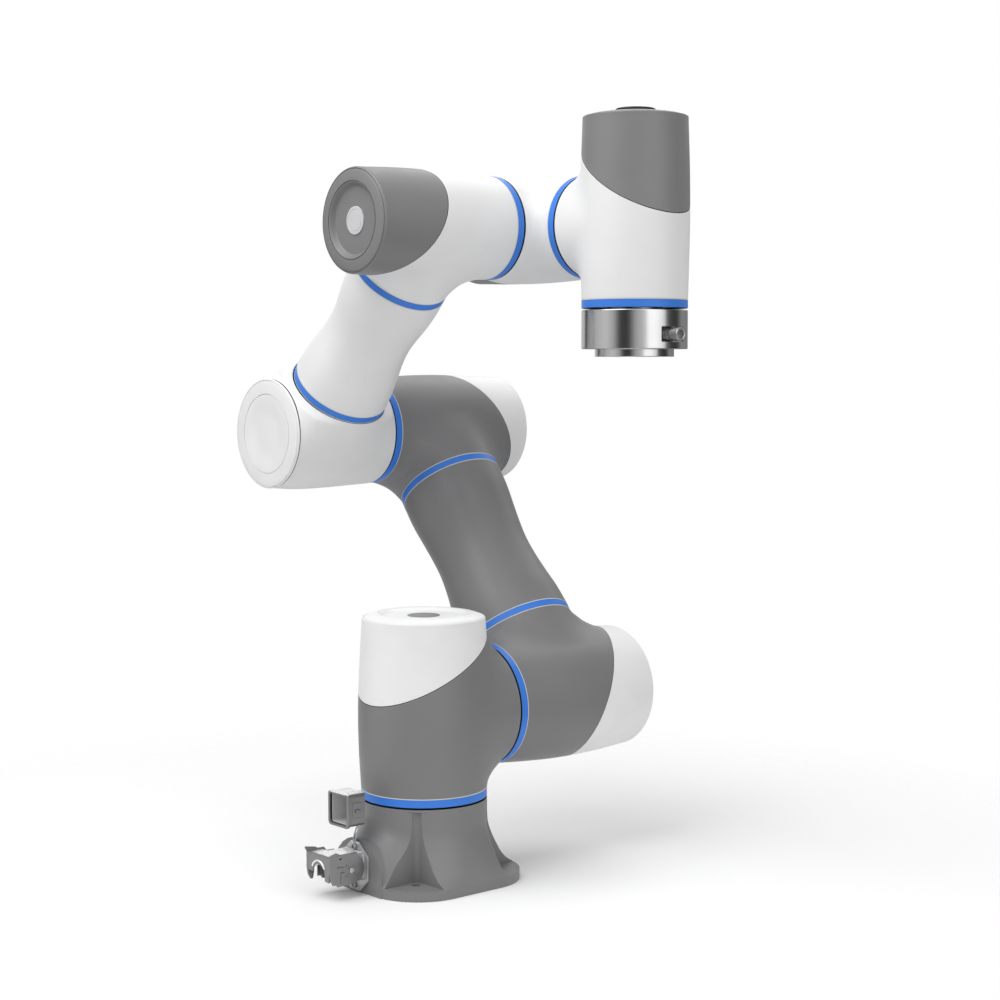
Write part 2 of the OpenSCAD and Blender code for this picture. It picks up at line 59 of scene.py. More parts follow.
UP = np.array([0.0, 0.0, 1.0])


# ---- Places. Every module is built in millimetres in its own frame, then placed. ----

class Place:
    """A frame in the arm: local +Z is the barrel's axis towards its cap, local +X the branch."""

    def __init__(self, origin, axis, branch):
        z = np.array(axis, float) / np.linalg.norm(axis)
        x = np.array(branch, float) / np.linalg.norm(branch)
        self.origin = np.array(origin, float)
        self.axes = np.stack([x, np.cross(z, x), z])

    def out(self, points):
        return (points @ self.axes + self.origin) * MM

    def node(self, name):
        """A CAD node's vertices in this frame, in millimetres."""
        data = frame["nodes"][name].data
        co = np.empty(len(data.vertices) * 3, np.float32)
        data.vertices.foreach_get("co", co)
        return (co.reshape(-1, 3) / MM - self.origin) @ self.axes.T


def joint_point(name):
    return np.array(joints[name]["pos_m"], float) / MM


def joint_axis(name):
    return np.array(joints[name]["axis"], float)


ALONG_Y = joint_axis("joint_2")
p1, p2, p3, p4, p5, p6 = [joint_point(f"joint_{k}") for k in range(1, 7)]
upper_elbow = np.array([p3[0], p2[1], p3[2]])
up_arm = upper_elbow - p2
up_forearm = p4 - p3

AT_BASE = Place([0, 0, 0], UP, [1, 0, 0])
AT_SHOULDER = Place(p1, UP, ALONG_Y)
AT_JOINT_2 = Place(p2, ALONG_Y, up_arm)
AT_JOINT_3 = Place(upper_elbow, ALONG_Y, -up_arm)
AT_ELBOW = Place(p3, -ALONG_Y, up_forearm)
AT_JOINT_4 = Place(p4, -ALONG_Y, -up_forearm)
AT_WRIST_1 = Place(p5, -joint_axis("joint_5"), -ALONG_Y)
AT_WRIST_2 = Place(p6, UP, -joint_axis("joint_5"))
AT_UPPER_ARM = Place(p2, up_arm, ALONG_Y)
AT_FOREARM = Place(p3, up_forearm, ALONG_Y)


# ---- Mesh building ----

AROUND = 144          # segments round a barrel
NET = 1.7   # size of the faces on blended surfaces


class Shape:
    """Vertices, faces and one material number per face, in a module's own frame."""

    def __init__(self):
        self.points = np.zeros((0, 3))
        self.faces = []
        self.paint = []

    def add(self, points, faces, paint=0):
        start = len(self.points)
        self.points = np.vstack([self.points, np.asarray(points, float)])
        self.faces += [tuple(int(i) + start for i in f) for f in faces]
        self.paint += list(paint) if np.ndim(paint) else [paint] * len(faces)
        return self

    def join(self, other, paint=None):
        return self.add(other.points, other.faces, other.paint if paint is None else paint)


def build(name, shape, place, body, slot, materials, sharp=38):
    """Makes the Blender piece that replaces a CAD node, at its place, riding on its body."""
    mesh = bpy.data.meshes.new(name)
    centre = place.origin * MM
    mesh.from_pydata((place.out(shape.points) - centre).tolist(), [], shape.faces)
    mesh.polygons.foreach_set("material_index", np.array(shape.paint, np.int32))
    if mesh.validate():
        print("MESH", name, "had faulty faces")
    for material in materials:
        mesh.materials.append(material)
    mesh.shade_smooth()
    mesh.set_sharp_from_angle(angle=math.radians(sharp))
    piece = bpy.data.objects.new(name, mesh)
    piece.location = centre
    bpy.context.scene.collection.objects.link(piece)
    weighted = piece.modifiers.new("Weighted normals", "WEIGHTED_NORMAL")
    weighted.keep_sharp = True
    weighted.weight = 60
    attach(piece, body)
    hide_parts(name)


def round_angles(steps):
    return np.arange(steps) * 2 * math.pi / steps


def strips(rows, steps):
    """Faces between neighbouring rows of points, each row running round a loop."""
    faces = []
    for start in range(0, (rows - 1) * steps, steps):
        for s in range(steps):
            a, b = start + s, start + (s + 1) % steps
            faces.append((a, b, b + steps, a + steps))
    return faces


def lathe(outline, steps=AROUND, paint=0):
    """Turns a closed outline round +Z. Each of its rows is (radius, height), or arrays of them by
    angle. It runs counter-clockwise in (radius, height)."""
    angles = round_angles(steps)
    rows = []
    for radius, height in outline:
        r = np.broadcast_to(np.asarray(radius, float), steps)
        h = np.broadcast_to(np.asarray(height, float), steps)
        rows.append(np.stack([r * np.cos(angles), r * np.sin(angles), h], 1))
    points, index = [], []
    for row, (radius, _) in zip(rows, outline):
        if np.ndim(radius) == 0 and radius < 1e-6:
            index.append(np.full(steps, len(points)))
            points.append(row[0])
        else:
            index.append(np.arange(steps) + len(points))
            points += list(row)
    faces, colours = [], []
    count = len(rows)
    for i in range(count):
        a, b = index[i], index[(i + 1) % count]
        if a[0] == a[-1] and b[0] == b[-1]:
            continue
        for s in range(steps):
            t = (s + 1) % steps
            corners = [a[s], a[t], b[t], b[s]]
            face = [c for k, c in enumerate(corners) if c != corners[k - 1]]
            faces.append(face)
            colours.append(paint[i] if np.ndim(paint) else paint)
    return Shape().add(points, faces, colours)


def rounded(corners, steps=4):
    """A polygon with its corners rounded. Each corner is (x, y) or (x, y, radius)."""
    out = []
    count = len(corners)
    for i, corner in enumerate(corners):
        here = np.array(corner[:2], float)
        radius = corner[2] if len(corner) > 2 else 0
        if radius <= 0:
            out.append(tuple(here))
            continue
        before = np.array(corners[i - 1][:2], float) - here
        after = np.array(corners[(i + 1) % count][:2], float) - here
        u, v = before / np.linalg.norm(before), after / np.linalg.norm(after)
        half = math.acos(max(-1, min(1, float(u @ v)))) / 2
        if half > math.pi / 2 - 0.01:
            out.append(tuple(here))
            continue
        tangent = radius / math.tan(half)
        centre = here + (u + v) / np.linalg.norm(u + v) * radius / math.sin(half)
        start, end = here + u * tangent - centre, here + v * tangent - centre
        turn = math.atan2(start[0] * end[1] - start[1] * end[0], start @ end)
        for k in range(steps + 1):
            a = turn * k / steps
            c, s = math.cos(a), math.sin(a)
            out.append(tuple(centre + [start[0] * c - start[1] * s, start[0] * s + start[1] * c]))
    return out


def turned(corners, steps=AROUND):
    return lathe(rounded(corners), steps)


def smooth_curve(knots, values):
    """A smooth function through (knots, values), level beyond its ends."""
    knots, values = np.array(knots, float), np.array(values, float)
    slopes = np.gradient(values, knots)

    def curve(at):
        at = np.clip(at, knots[0], knots[-1])
        i = np.clip(np.searchsorted(knots, at) - 1, 0, len(knots) - 2)
        width = knots[i + 1] - knots[i]
        t = (at - knots[i]) / width
        rise = values[i + 1] - values[i]
        a = slopes[i] * width - rise
        b = rise - slopes[i + 1] * width
        return values[i] + t * rise + t * (1 - t) * (a * (1 - t) + b * t)

    return curve


# ---- Surfaces of blended fields, meshed as nets of even faces ----

def gradient(field, points, reach=0.02):
    parts = []
    for axis in np.eye(3) * reach:
        parts.append((field(points + axis) - field(points - axis)) / (2 * reach))
    return np.stack(parts, 1)


def settle(field, points, rounds=3):
    for _ in range(rounds):
        slope = gradient(field, points)
        step = field(points) / np.maximum((slope ** 2).sum(1), 1e-3)
        points = points - slope * np.clip(step, -2, 2)[:, None]
    return points


def net(field, low, high, step, relax=4):
    """Quads on the zero surface of a field, facing outwards, evened out in a few relaxing rounds."""
    axes = [np.arange(a, b + step, step) for a, b in zip(low, high)]
    grid = np.stack(np.meshgrid(*axes, indexing="ij"), -1)
    inside = (field(grid.reshape(-1, 3)) < 0).reshape(grid.shape[:3])
    corners = np.zeros(np.array(inside.shape) - 1, int)
    for i in (0, 1):
        for j in (0, 1):
            for k in (0, 1):
                corners += inside[i:i + corners.shape[0], j:j + corners.shape[1], k:k + corners.shape[2]]
    mixed = (corners > 0) & (corners < 8)
    number = np.full(corners.shape, -1)
    number[mixed] = np.arange(mixed.sum())
    points = settle(field, grid[:-1, :-1, :-1][mixed] + step / 2)
    quads = []
    for axis in range(3):
        a = np.moveaxis(inside, axis, 0)
        n = np.moveaxis(number, axis, 0)
        crossing = a[1:, 1:-1, 1:-1] != a[:-1, 1:-1, 1:-1]
        i, j, k = np.nonzero(crossing)
        quad = np.stack([n[i, j, k], n[i, j + 1, k], n[i, j + 1, k + 1], n[i, j, k + 1]], 1)
        outward_face = a[:-1, 1:-1, 1:-1][crossing]
        if axis == 1:
            outward_face = ~outward_face
        quad[~outward_face] = quad[~outward_face][:, ::-1]
        quads.append(quad)
    quads = np.concatenate(quads)
    quads = quads[(quads >= 0).all(1)]
    near, far = [np.concatenate([quads[:, [k, (k + 1) % 4][way]] for k in range(4)]) for way in (0, 1)]
    count = len(points)
    weight = np.bincount(near, minlength=count) + np.bincount(far, minlength=count)
    for _ in range(relax):
        total = np.stack([np.bincount(near, points[far, c], count) + np.bincount(far, points[near, c], count)
                          for c in range(3)], 1)
        mean = total / np.maximum(weight, 1)[:, None]
        points = settle(field, points * 0.4 + mean * 0.6, 1)
    return settle(field, points), quads


def split_quads(points, quads, sharp=None, pull=0):
    """Two triangles for each quad, across its shorter diagonal. pull is how much shorter a
    diagonal counts when both of its ends are sharp."""
    lengths = []
    for k in (0, 1):
        a, b = quads[:, k], quads[:, k + 2]
        length = np.linalg.norm(points[a] - points[b], axis=1)
        lengths.append(length if sharp is None else length - pull * (sharp[a] & sharp[b]))
    short = lengths[0] <= lengths[1]
    a, b = quads[short], quads[~short]
    return np.concatenate([a[:, [0, 1, 2]], a[:, [0, 2, 3]], b[:, [0, 1, 3]], b[:, [1, 2, 3]]])


def onto_both(field, limit, points):
    """Points moved onto a field's surface and a limit's zero at once, in a few rounds."""
    for _ in range(6):
        g, h = gradient(field, points), gradient(limit, points)
        off, past = field(points), limit(points)
        gg, hh, gh = (g * g).sum(1), (h * h).sum(1), (g * h).sum(1)
        det = np.maximum(gg * hh - gh * gh, 1e-6)
        a, b = (off * hh - past * gh) / det, (past * gg - off * gh) / det
        points = points - g * np.clip(a, -3, 3)[:, None] - h * np.clip(b, -3, 3)[:, None]
    return points


def trim(field, points, triangles, limit, step):
    """Keeps the part of a net where limit is positive, with a clean edge along limit = 0."""
    value = limit(points)
    near = np.abs(value) < 0.3 * step
    points = points.copy()
    points[near] = onto_both(field, limit, points[near])
    value[near] = 0
    sign = np.sign(value)[triangles]
    kept = triangles[(sign >= 0).all(1) & (sign > 0).any(1)]
    mixed = triangles[(sign > 0).any(1) & (sign < 0).any(1)]
    made, extra, fresh = {}, [], []
    for triangle in mixed:
        polygon = []
        for k in range(3):
            a, b = int(triangle[k]), int(triangle[(k + 1) % 3])
            if value[a] >= 0:
                polygon.append(a)
            if value[a] * value[b] < 0:
                key = (min(a, b), max(a, b))
                if key not in made:
                    made[key] = len(points) + len(extra)
                    share = value[a] / (value[a] - value[b])
                    extra.append(points[a] + (points[b] - points[a]) * share)
                polygon.append(made[key])
        for k in range(1, len(polygon) - 1):
            fresh.append((polygon[0], polygon[k], polygon[k + 1]))
    if extra:
        points = np.vstack([points, onto_both(field, limit, np.array(extra))])
    triangles = np.vstack([kept, np.array(fresh, int).reshape(-1, 3)])
    used = np.unique(triangles)
    back = np.full(len(points), -1)
    back[used] = np.arange(len(used))
    return points[used], back[triangles]


def open_loops(triangles):
    """The open edges of a net, chained into loops."""
    ends = {}
    seen = set(map(tuple, np.concatenate(
        [triangles[:, [0, 1]], triangles[:, [1, 2]], triangles[:, [2, 0]]]).tolist()))
    for a, b in seen:
        if (b, a) not in seen:
            ends[a] = b
    loops = []
    while ends:
        start, at = next(iter(ends.items()))
        loop = [start]
        del ends[start]
        while at != start:
            loop.append(at)
            at = ends.pop(at)
        loops.append(loop)
    return loops


def thick_shell(field, points, triangles, limits, wall):
    """A closed shell: the net outside, the same net moved inwards, and a shaped rim on each open edge. limits
    is a list of (limit field, outline of the rim), where an outline's points are (distance past the edge,
    depth below the surface). A rim's flat takes the second material, painted black as shade in the seam or
    gap beyond the edge."""
    normals = gradient(field, points)
    normals /= np.linalg.norm(normals, axis=1)[:, None]
    count = len(points)
    shape = Shape().add(points, triangles)
    shape.add(points - normals * wall, triangles[:, ::-1])
    for loop in open_loops(triangles):
        at = points[loop]
        scores = [np.abs(limit(at)).max() for limit, _ in limits]
        limit, outline = limits[int(np.argmin(scores))]
        away = -gradient(limit, at)
        n = normals[loop]
        away -= n * (away * n).sum(1)[:, None]
        away /= np.linalg.norm(away, axis=1)[:, None]
        rows = [np.array(loop)]
        for past, depth in outline:
            rows.append(np.arange(len(loop)) + len(shape.points))
            shape.points = np.vstack([shape.points, at + away * past - n * depth])
        rows.append(np.array(loop) + count)
        size = len(loop)
        for k, (a, b) in enumerate(zip(rows[:-1], rows[1:])):
            for s in range(size):
                t = (s + 1) % size
                shape.faces.append((int(a[t]), int(a[s]), int(b[s]), int(b[t])))
                # The rows past the lip are painted black, as shade in the seam or gap.
                shape.paint.append(0 if k < LIP_ROWS else 1)
    return shape


# ---- Housings: a barrel with a branch square to it, blended, and the cover over its far end ----

EDGE = 0.35      # rounding of visible edges
# The rows past these are painted black, as shade in the gap beyond the edge.
LIP_ROWS = 2     # rows of faces in that rounding which keep the piece's own colour
RING_SEAT = 3.1  # depth of a ring's seat
SEAM_GAP = 0.25  # half the gap between a housing and its cover
HUB_BORE, HUB_SHARE = 11, 0.62   # a hub's bore, and its radius as a share of its drive's


def ease(room, reach):
    """Grows from 0 to 1 over a distance."""
    return np.sin(np.clip(room / reach, 0, 1) * math.pi / 2)


class Housing:
    """Sizes of one joint's housing, in its place. Its foot, cap and ring radius come from the CAD.
    belly is the barrel's radius from the ring to the rim, or all of it and the foot's depth."""

    def __init__(self, key, place, ring, belly, branch, seam, blend, reach):
        self.key, self.place, self.ring = key, place, ring
        if ring:
            seat = place.node(ring)
            self.foot, self.neck = seat[:, 2].min(), seat[:, 2].max()
            belly = [np.hypot(seat[:, 0], seat[:, 1]).max(), *belly]
        else:
            *belly, depth = belly
            self.foot = self.neck = -depth
        self.cap = place.node(key + "_cover")[:, 2].max()
        self.rim_radius = belly[-1]
        self.radius = smooth_curve([self.neck, self.foot * 0.5, 0, self.cap * 0.5, self.cap - 6], belly)
        self.branch_radius, self.length = branch
        self.seam_sizes = seam
        self.blend = blend
        self.reach = reach

    def seam(self, x):
        """Height of the seam, at a distance along the branch."""
        start, slope, bend = self.seam_sizes
        return start + slope * x + bend * x * x

    def field(self, p):
        x, y, z = p.T
        barrel = np.hypot(x, y) - self.radius(z)
        flare = self.branch_radius + 1.1 * (1 - np.clip(x / self.length, 0, 1))
        along = np.hypot(y, z) - flare
        branch = np.where(x > 0, along, np.sqrt(x * x + y * y + z * z) - flare)
        fade = ease(self.length - x, self.reach) * ease(z - self.neck, 10) * ease(self.seam(x) - z, 12)
        dot = np.where(x > 0, y * y / np.maximum(np.hypot(x, y) * np.hypot(y, z), 1), 1)
        k = self.blend * (1 - np.clip(dot, 0, 1) ** 2) + 1e-6
        spread = np.maximum(k - np.abs(barrel - branch), 0)
        return np.minimum(barrel, branch) - fade * spread ** 2 / (4 * k)


def rounded_lip(depth):
    """Rim outline that turns over an edge and goes down to a depth."""
    turn = [(EDGE * math.sin(a), EDGE * (1 - math.cos(a))) for a in (0.5, 1.05, math.pi / 2)]
    return turn + [(EDGE, depth)]


def housing_shape(h, wall):
    """The body of a housing: everything below its seam."""
    limits = [
        (lambda p: h.length - EDGE - p[:, 0], rounded_lip(wall + 3)),
        (lambda p: h.seam(p[:, 0]) - SEAM_GAP - EDGE - p[:, 2], rounded_lip(wall)),
    ]
    if h.ring:
        under = h.neck - h.foot + EDGE
        seat = rounded_lip(RING_SEAT) + [(under, RING_SEAT), (under, wall)]
        limits.append((lambda p: p[:, 2] - h.neck - EDGE, seat))
    else:
        limits.append((lambda p: p[:, 2] - h.foot - EDGE, rounded_lip(wall)))
    edge = h.radius(0) + 4
    low = np.array([-edge, -edge, h.foot - 4])
    high = np.array([h.length + 5, edge, h.seam(edge) + 8])
    points, quads = net(h.field, low, high, NET)
    triangles = split_quads(points, quads)
    for limit, _ in limits:
        points, triangles = trim(h.field, points, triangles, limit, NET)
    return thick_shell(h.field, points, triangles, limits, wall)


def branch_hub(h, drive_radius):
    """The plate at a branch's end and the hub that reaches into the next drive."""
    outer, plate_radius, end = HUB_SHARE * drive_radius, h.branch_radius - 2.5, h.length
    shape = turned([(HUB_BORE, end - 7), (plate_radius, end - 7), (plate_radius, end - 0.4, 0.3),
                    (outer, end - 0.4), (outer, end + 14.2, 0.6), (HUB_BORE, end + 14.2, 0.6)])
    points = shape.points
    shape.points = np.stack([points[:, 2], points[:, 1], -points[:, 0]], 1)
    return shape


def foot_hub(h, drive_radius):
    """The elbow's end plate and the hub below it, which the joint 3 drive turns."""
    outer, plate_radius, z = HUB_SHARE * drive_radius, 42.6, h.foot
    return turned([(HUB_BORE, z - 14.2, 0.6), (outer, z - 14.2, 0.6), (outer, z + 0.4),
                   (plate_radius, z + 0.4, 0.3), (plate_radius, z + 7), (HUB_BORE, z + 7)])


def cover_shape(h, wall, end, face, bore=0):
    """The shell beyond the seam. end is its end wall's thickness, and face is the outline of its end face,
    from the rim inwards. The annulus at the seam takes the second material, painted black as shade in the
    seam."""
    angles = round_angles(AROUND)
    start = np.full(AROUND, h.seam_sizes[0])
    for _ in range(20):
        start = 0.5 * start + 0.5 * (h.seam(h.radius(start) * np.cos(angles)) + SEAM_GAP)
    top = h.cap + face[0][1] - 0.1
    rows = []
    for k in (3, 2, 1, 0):
        a = math.pi / 2 * k / 3
        height = start + EDGE * (1 - math.sin(a))
        rows.append((h.radius(height) - EDGE * (1 - math.cos(a)), height))
    count = max(1, round((top - start.min()) / 2))
    for k in range(1, count + 1):
        height = start + EDGE + (top - start - EDGE) * k / count
        rows.append((h.radius(height), height))
    rows += [(r, h.cap + z) for r, z in face]
    under = h.cap - end
    inner = h.rim_radius - wall
    rows += [(bore, under), (inner * 0.5, under)]
    if under - 4 > start.max():
        rows += [(inner - 4, under), (inner - 1.2, under - 1.2), (inner, under - 4)]
        for k in (0.66, 0.33, 0):
            height = start + (under - 4 - start) * k
            rows.append((h.radius(height) - wall, height))
    else:
        rows += [(inner - 0.4, under), (inner, start)]
    # The last face, the annulus at the seam, is painted black as shade in the seam.
    return lathe(rows, paint=[0] * (len(rows) - 1) + [1])


def arc(centre, radius, start, end, steps):
    """Points on an arc, angles in degrees."""
    out = []
    for k in range(steps + 1):
        a = math.radians(start + (end - start) * k / steps)
        out.append((centre[0] + radius * math.cos(a), centre[1] + radius * math.sin(a)))
    return out


def end_face(rim, corner=2.2, crown=2.6, dish=0.71, depth=3, floor=0.45, hole=0):
    """Outline of a cover's end face: a rounded rim, a fine seam, a crowned ring, a groove and a
    dish. rim is the barrel's radius at its rim, and heights are measured from the cap's top."""
    lip = -crown - corner
    out = arc((rim - corner, lip), corner, 0, 62, 5)
    seam_at = rim - corner * 0.55
    out += [(seam_at, -crown - 0.3), (seam_at - 0.1, -crown - 0.85), (seam_at - 0.6, -crown - 0.85),
            (seam_at - 0.7, -crown - 0.25)]
    groove = rim * (dish + 0.02)
    shoulder = seam_at - 0.7
    for k in range(1, 9):
        t = k / 8
        out.append((shoulder + (groove + 0.5 - shoulder) * t, -crown + crown * math.sin(t * math.pi / 2)))
    if hole:
        return out + [(hole + 3, 0), (hole + 0.4, 0), (hole, -0.4)]
    out += [(groove + 0.45, -0.8), (groove - 0.25, -0.8), (groove - 0.3, -0.1)]
    inner = rim * floor
    for k in range(1, 13):
        t = k / 12
        fall = t * t * (3 - 2 * t)
        out.append((groove - 0.35 + (inner - groove + 0.35) * t, -0.1 - (depth - 0.1) * fall))
    return out + [(inner * 0.5, -depth), (0, -depth)]


# Each housing's place, ring, barrel radii, (branch radius, branch length), seam as (height, slope,
# bend), size of the blend between barrel and branch, and the distance in which it fades out.
HOUSINGS = {key: Housing(key, *sizes) for key, sizes in {
    "shoulder": (AT_SHOULDER, "joint_1_ring", (52.2, 52.9, 51.6, 49.6), (50, 60), (39.9, 0.55, 0), 26, 6),
    "joint_2": (AT_JOINT_2, "joint_2_ring", (52.5, 54.3, 53.9, 51.6), (49, 58.2), (38.1, 0.53, 0), 26, 6),
    "joint_3": (AT_JOINT_3, "joint_3_ring", (48.2, 49.2, 48.5, 47.2), (45.6, 56.8), (42, 0.53, 0), 26, 6),
    "elbow": (AT_ELBOW, None, (46, 47.1, 48, 48, 46.4, 51.1), (42.2, 50.3), (49, 0, 0), 36, 5),
    "joint_4": (AT_JOINT_4, "joint_4_ring", (42.7, 43.1, 42.8, 41.4), (40.8, 48.5), (34.6, 0.7, 0.003),
                22, 6),
    "wrist_1": (AT_WRIST_1, "joint_5_ring", (43, 43.6, 43, 41.8), (42, 49.8), (33.5, 0.7, 0.0025), 16, 6),
    "wrist_2": (AT_WRIST_2, "joint_6_ring", (42.8, 43.4, 43, 41.8), (41.6, 49), (32.7, 0.7, 0.002), 16, 6),
}.items()}


# ---- Turned parts: rings, arm tubes, badges, the button ----

def band_ring(outer, inner, low, high, low_line):
    """A coloured band ring with a fine gasket line at its high end. Its low end has one too, or has its
    rounding painted black as shade where it faces the gap to a moving joint."""
    line, sunk = 0.7, 0.1
    rows, paint = [(inner, low)], []

    def go(r, z, colour=0):
        rows.append((r, z))
        paint.append(colour)

    if low_line:
        go(outer - sunk, low, 1)
        go(outer - sunk, low + line, 1)
        go(outer, low + line + 0.05)
    else:
        # Facing a moving joint, the low end's rounding is painted black as shade in the gap.
        for k, (r, z) in enumerate(arc((outer - 0.5, low + 0.5), 0.5, -90, 0, 4)):
            go(r, z, 0 if k > 2 else 2)
    go(outer, high - line - 0.05)
    go(outer - sunk, high - line)
    go(outer - sunk, high, 1)
    go(inner, high, 1)
    paint.append(0)
    return lathe(rows, paint=paint)


def tube_shape(place, low_ring, high_ring, radii, bore):
    """A waisted arm tube between two rings, with a spigot at each end."""
    low, high = place.node(low_ring), place.node(high_ring)
    start, end = low[:, 2].max() + 0.05, high[:, 2].min() - 0.05
    first, last = [np.hypot(n[:, 0], n[:, 1]).max() for n in (low, high)]
    radii = [first] + list(radii) + [last]
    curve = smooth_curve(np.linspace(start, end, len(radii)), radii)
    spigot, wall = 14, 3.5
    rows = [(bore - wall, start - spigot), (bore - 0.1, start - spigot), (bore - 0.1, start)]
    rows += [(first - EDGE, start), (first - 0.1, start + 0.1), (first, start + EDGE)]
    for z in np.linspace(start + EDGE, end - EDGE, 64)[1:-1]:
        rows.append((float(curve(z)), z))
    rows += [(last, end - EDGE), (last - 0.1, end - 0.1), (last - EDGE, end), (bore - 0.1, end)]
    rows += [(bore - 0.1, end + spigot), (bore - wall, end + spigot)]
    return lathe(rows)


def badge_shape(radius, top):
    """A plain round disc with a turned edge and one fine groove."""
    groove = radius * 0.8
    return lathe([(0, top - 1.2), (radius - 0.3, top - 1.2), (radius, top - 0.9), (radius, top - 0.3),
                  (radius - 0.12, top - 0.09), (radius - 0.35, top), (groove, top),
                  (groove - 0.15, top - 0.25), (groove - 0.55, top - 0.25), (groove - 0.7, top),
                  (radius * 0.4, top), (0, top)], 96)


def button_shape(radius, low, high, stem):
    """The wrist's push button: a crowned disc with a raised rim, on its stem."""
    rows = [(0, low - 4), (stem, low - 4), (stem, low), (radius - 0.4, low), (radius, low + 0.4)]
    rows += arc((radius - 1.2, high - 1.2), 1.2, 0, 90, 6)
    rows += [(radius - 2.6, high), (radius - 3, high - 0.35), (radius - 3.6, high - 0.5)]
    for k in range(1, 7):
        t = k / 6
        rows.append(((radius - 3.6) * (1 - t), high - 0.5 + 0.45 * math.sin(t * math.pi / 2)))
    return lathe(rows, 96)


# ---- Plates and bent sheets ----

def offset_loop(loop, amount):
    """A loop moved into its material: counter-clockwise outlines shrink, clockwise holes grow."""
    loop = np.array(loop, float)
    edge = np.roll(loop, -1, 0) - loop
    edge /= np.linalg.norm(edge, axis=1)[:, None]
    normal = np.stack([-edge[:, 1], edge[:, 0]], 1)
    before = np.roll(normal, 1, 0)
    joined = (normal + before) / (1 + (normal * before).sum(1))[:, None]
    return loop + joined * amount


def turning(loop):
    loop = np.array(loop, float)
    after = np.roll(loop, -1, 0)
    return (loop[:, 0] * after[:, 1] - loop[:, 1] * after[:, 0]).sum()


def plate(outline, thickness, holes, bevel, place):
    """A flat plate with bevelled edges, from 0 to its thickness along its third axis.
    place is (origin, first axis, second axis) in its module's frame."""
    loops = [np.array(outline, float)] + [np.array(hole, float) for hole in holes]
    loops = [loop if (turning(loop) > 0) == (i == 0) else loop[::-1] for i, loop in enumerate(loops)]
    shape = Shape()
    steps = [(bevel, 0), (bevel * 0.29, bevel * 0.29), (0, bevel)]
    steps += [(0, thickness - bevel), (bevel * 0.29, thickness - bevel * 0.29), (bevel, thickness)]
    cap = []
    for loop in loops:
        size = len(loop)
        cap.append((len(shape.points), size))
        rows = [np.column_stack([offset_loop(loop, inset), np.full(size, z)]) for inset, z in steps]
        shape.add(np.vstack(rows), strips(len(rows), size))
    order = [i for base, size in cap for i in range(base, base + size)]
    lift = [(len(steps) - 1) * size for base, size in cap for _ in range(size)]
    outlines = [[Vector((*shape.points[base + s][:2], 0)) for s in range(size)] for base, size in cap]
    for triangle in tessellate_polygon(outlines):
        a, b, c = [order[i] for i in triangle]
        area = np.cross(shape.points[b][:2] - shape.points[a][:2], shape.points[c][:2] - shape.points[a][:2])
        if area > 0:
            triangle = triangle[::-1]
        shape.faces.append(tuple(order[i] for i in triangle))
        shape.faces.append(tuple(order[i] + lift[i] for i in triangle[::-1]))
        shape.paint += [0, 0]
    origin, u, v = [np.array(p, float) for p in place]
    shape.points = origin + shape.points @ np.stack([u, v, np.cross(u, v)])
    return shape


def box_outline(width, height, radius, rise=0):
    x, y = width / 2, height / 2
    corners = [(-x, -y, radius), (x, -y, radius), (x, y, radius), (-x, y, radius)]
    return [(px, py + rise) for px, py in rounded(corners, 5)]


def block(size, radius, thickness, bevel, place):
    """A plate with a rounded rectangle's outline."""
    return plate(box_outline(*size, radius), thickness, (), bevel, place)


def circle_outline(radius, centre=(0, 0), steps=32):
    turn = [2 * math.pi * k / steps for k in range(steps)]
    return [(centre[0] + radius * math.cos(a), centre[1] + radius * math.sin(a)) for a in turn]


def rod(points, radius, steps=12):
    """A round rod or cord swept along a path, with closed ends."""
    points = np.array(points, float)
    along = np.gradient(points, axis=0)
    along /= np.linalg.norm(along, axis=1)[:, None]
    side = np.cross(along[0], [0.31, 0.23, 0.92])   # square to the path, from any other direction
    angles = round_angles(steps)
    rows = []
    for p, d in zip(points, along):
        side = side - d * (side @ d)
        side /= np.linalg.norm(side)
        other = np.cross(d, side)
        rows.append(p + radius * (np.outer(np.cos(angles), side) + np.outer(np.sin(angles), other)))
    last = (len(rows) - 1) * steps
    ends = [tuple(range(steps))[::-1], tuple(range(last, last + steps))]
    return Shape().add(np.vstack(rows), strips(len(rows), steps) + ends)


def smooth_path(points):
    """A smooth path through points, in 24 points of its own."""
    points = np.array(points, float)
    knots = np.arange(len(points))
    at = np.linspace(0, len(points) - 1, 24)
    return np.stack([smooth_curve(knots, points[:, c])(at) for c in range(3)], 1)


def carved(shape, cutters):
    """A shape with other closed shapes cut away from it."""
    def temporary(part):
        mesh = bpy.data.meshes.new("cut")
        mesh.from_pydata(part.points.tolist(), [], part.faces)
        mesh.validate()
        made = bpy.data.objects.new("cut", mesh)
        bpy.context.scene.collection.objects.link(made)
        return made

    target = temporary(shape)
    tools = [temporary(cutter) for cutter in cutters]
    for tool in tools:
        modifier = target.modifiers.new("cut", "BOOLEAN")
        modifier.operation = "DIFFERENCE"
        modifier.solver = "EXACT"
        modifier.object = tool
    result = target.evaluated_get(bpy.context.evaluated_depsgraph_get()).to_mesh()
    points = np.array([v.co for v in result.vertices], float)
    faces = [tuple(f.vertices) for f in result.polygons]
    for made in [target] + tools:
        bpy.data.objects.remove(made)
    return Shape().add(points, faces)


# ---- Base casting ----

